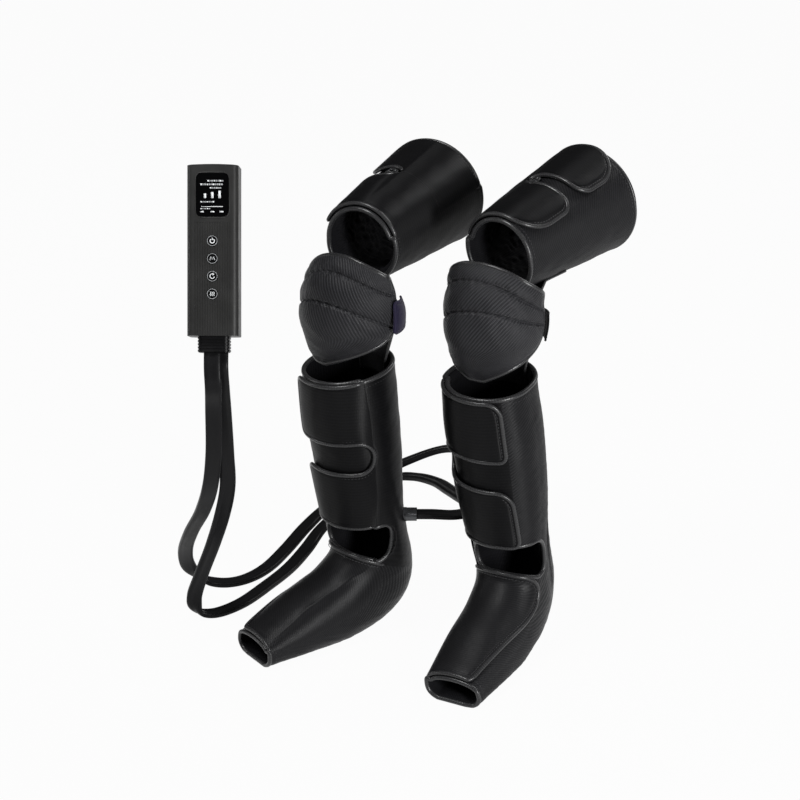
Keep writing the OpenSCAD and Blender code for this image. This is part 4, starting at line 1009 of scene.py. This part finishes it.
# Screen: rows of plain blocks and three bars; the window's plane and its centre's height
part = Part()
face_y = 0.4
zc = 64
for x, h in ((-8.6, 5.5), (0, 7.0), (8.4, 8.6)):
    plate(part, x - 1.4, 60.2, x + 1.4, 60.2 + h, face_y, 0, r=0.3)
for z, x0, x1, h in ((79.5, -5.9, 13.8, 1.8), (75.2, -14, 12.6, 2.0), (71.2, -3, 10.3, 1.7),
                     (55.1, -14, 2.2, 1.5), (47.3, -14, -2, 1.3)):
    x, k = x0, 0
    while x < x1 - 1.2:
        w = (1.9, 1.2, 2.6, 1.5)[k % 4]
        plate(part, x, z, min(x + w, x1), z + h, face_y, 1 if k % 3 else 0, r=0.2)
        x += w + 0.6
        k += 1
plate(part, -12.9, 50.0, 12.3, 50.7, face_y, 0)
for x0, x1 in ((-14, -10), (-2, 2.4), (8.4, 13.0)):
    plate(part, x0, 43.6, x1, 45.1, face_y, 0, r=0.2)
screen = part.make("display_marks", [WHITE, GREY])
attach(screen, "controller")

# Bezel round the window
part = Part()
f = np.linspace(0, 2 * np.pi, 160, endpoint=False)
sq = 0.32
rx, rz = 19.3 + 0.9, 25.6 + 0.9
x = rx * np.sign(np.cos(f)) * np.abs(np.cos(f)) ** sq
z = rz * np.sign(np.sin(f)) * np.abs(np.sin(f)) ** sq
part.tube(ctl(np.stack([x, 0 * f - 0.05, zc + z], 1)), 0.55, 0, closed=True, sides=8)
bezel = part.make("window_bezel", [CASE])
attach(bezel, "controller")

# Heights of the buttons' centres; their symbols are plain generic ones
BUTTONS = {"power_button": 10.4, "mode_button": -10.2, "strength_button": -30.8, "heat_button": -51.4}
for k, (node, z) in enumerate(BUTTONS.items()):
    part = Part()
    y = -0.52
    ring_mark(part, 0, z, 5.7, 0.5, y + 0.05, 0)
    if k == 0:
        ring_mark(part, 0, z - 0.2, 2.5, 1.1, y, 1, a0=125, a1=415)
        plate(part, -0.55, z + 0.5, 0.55, z + 3.5, y, 1, r=0.4)
    elif k == 1:
        x = np.array([-2.8, -1.4, 0, 1.4, 2.8])
        zz = z + np.array([-1.9, 2.0, -1.3, 2.0, -1.9])
        part.tube(ctl(np.stack([x, 0 * x + y, zz], 1)), 0.5, 1, sides=6)
    elif k == 2:
        ring_mark(part, 0, z, 2.6, 0.9, y, 1, a0=60, a1=350)
        part.tube(ctl(np.array([[0.3, y, z + 1.2], [1.7, y, z + 2.3], [0.5, y, z + 3.6]])), 0.48, 1, sides=6)
    else:
        for x in (-2.0, 0, 2.0):
            zz = np.linspace(-2.4, 2.4, 14)
            part.tube(ctl(np.stack([x + 0.5 * np.sin(zz * 1.7), 0 * zz + y, z + zz], 1)), 0.42, 1, sides=6)
    ob = part.make(node + "_marks", [GREY, WHITE])
    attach(ob, node)

# ---- Floor, light ----
# Share of the floor that is plain white to camera, glossy and transmission rays; the world's white
# for the camera and its light on the object
FLOOR_WHITE, WORLD_WHITE, WORLD_LIGHT = 0.965, 0.968, 0.06
me = bpy.data.meshes.new("floor")
me.from_pydata([(-6, -6, 0), (6, -6, 0), (6, 6, 0), (-6, 6, 0)], [], [(0, 1, 2, 3)])
floor = bpy.data.objects.new("floor", me)
scene.collection.objects.link(floor)
fm = material("floor_pale", (0.34, 0.34, 0.34), rough=0.9, spec=0.1)
n = Nodes(fm)
out = fm.node_tree.nodes["Material Output"]
white = n.new("Emission", Strength=1.0)
path = n.new("LightPath")
seen = n.math("MAXIMUM", path.outputs["Is Glossy Ray"], path.outputs["Is Transmission Ray"])
rays = n.math("MAXIMUM", path.outputs["Is Camera Ray"], seen)
mix = n.new("MixShader")
n.link(n.math("MULTIPLY", rays, FLOOR_WHITE), mix.inputs[0])
n.link(n.b.outputs[0], mix.inputs[1])
n.link(white.outputs[0], mix.inputs[2])
n.link(mix.outputs[0], out.inputs["Surface"])
me.materials.append(fm)

world = bpy.data.worlds.new("world")
scene.world = world
world.use_nodes = True
wt = world.node_tree
bg = wt.nodes["Background"]
bg.inputs["Color"].default_value = (1, 1, 1, 1)
lp = wt.nodes.new("ShaderNodeLightPath")
mx = wt.nodes.new("ShaderNodeMix")
mx.data_type = "FLOAT"
mx.inputs["A"].default_value = WORLD_LIGHT
mx.inputs["B"].default_value = WORLD_WHITE
wt.links.new(lp.outputs["Is Camera Ray"], mx.inputs["Factor"])
wt.links.new(mx.outputs[0], bg.inputs["Strength"])


def lamp(name, where, look, size, watts):
    d = bpy.data.lights.new(name, "AREA")
    d.shape = "RECTANGLE"
    d.size, d.size_y = size
    d.energy = watts
    o = bpy.data.objects.new(name, d)
    scene.collection.objects.link(o)
    o.location = where
    o.rotation_euler = (Vector(look) - Vector(where)).to_track_quat("-Z", "Y").to_euler()


AIM = (0.05, 0.0, 0.3)
lamp("key", (-0.2, -0.9, 2.6), AIM, (0.7, 0.6), 42)
lamp("side", (2.3, -0.75, 0.7), AIM, (0.4, 1.2), 62)
lamp("left", (-2.1, -1.3, 1.2), AIM, (0.4, 1.2), 9)
lamp("rim", (0.6, 2.2, 1.9), AIM, (1.2, 0.8), 22)
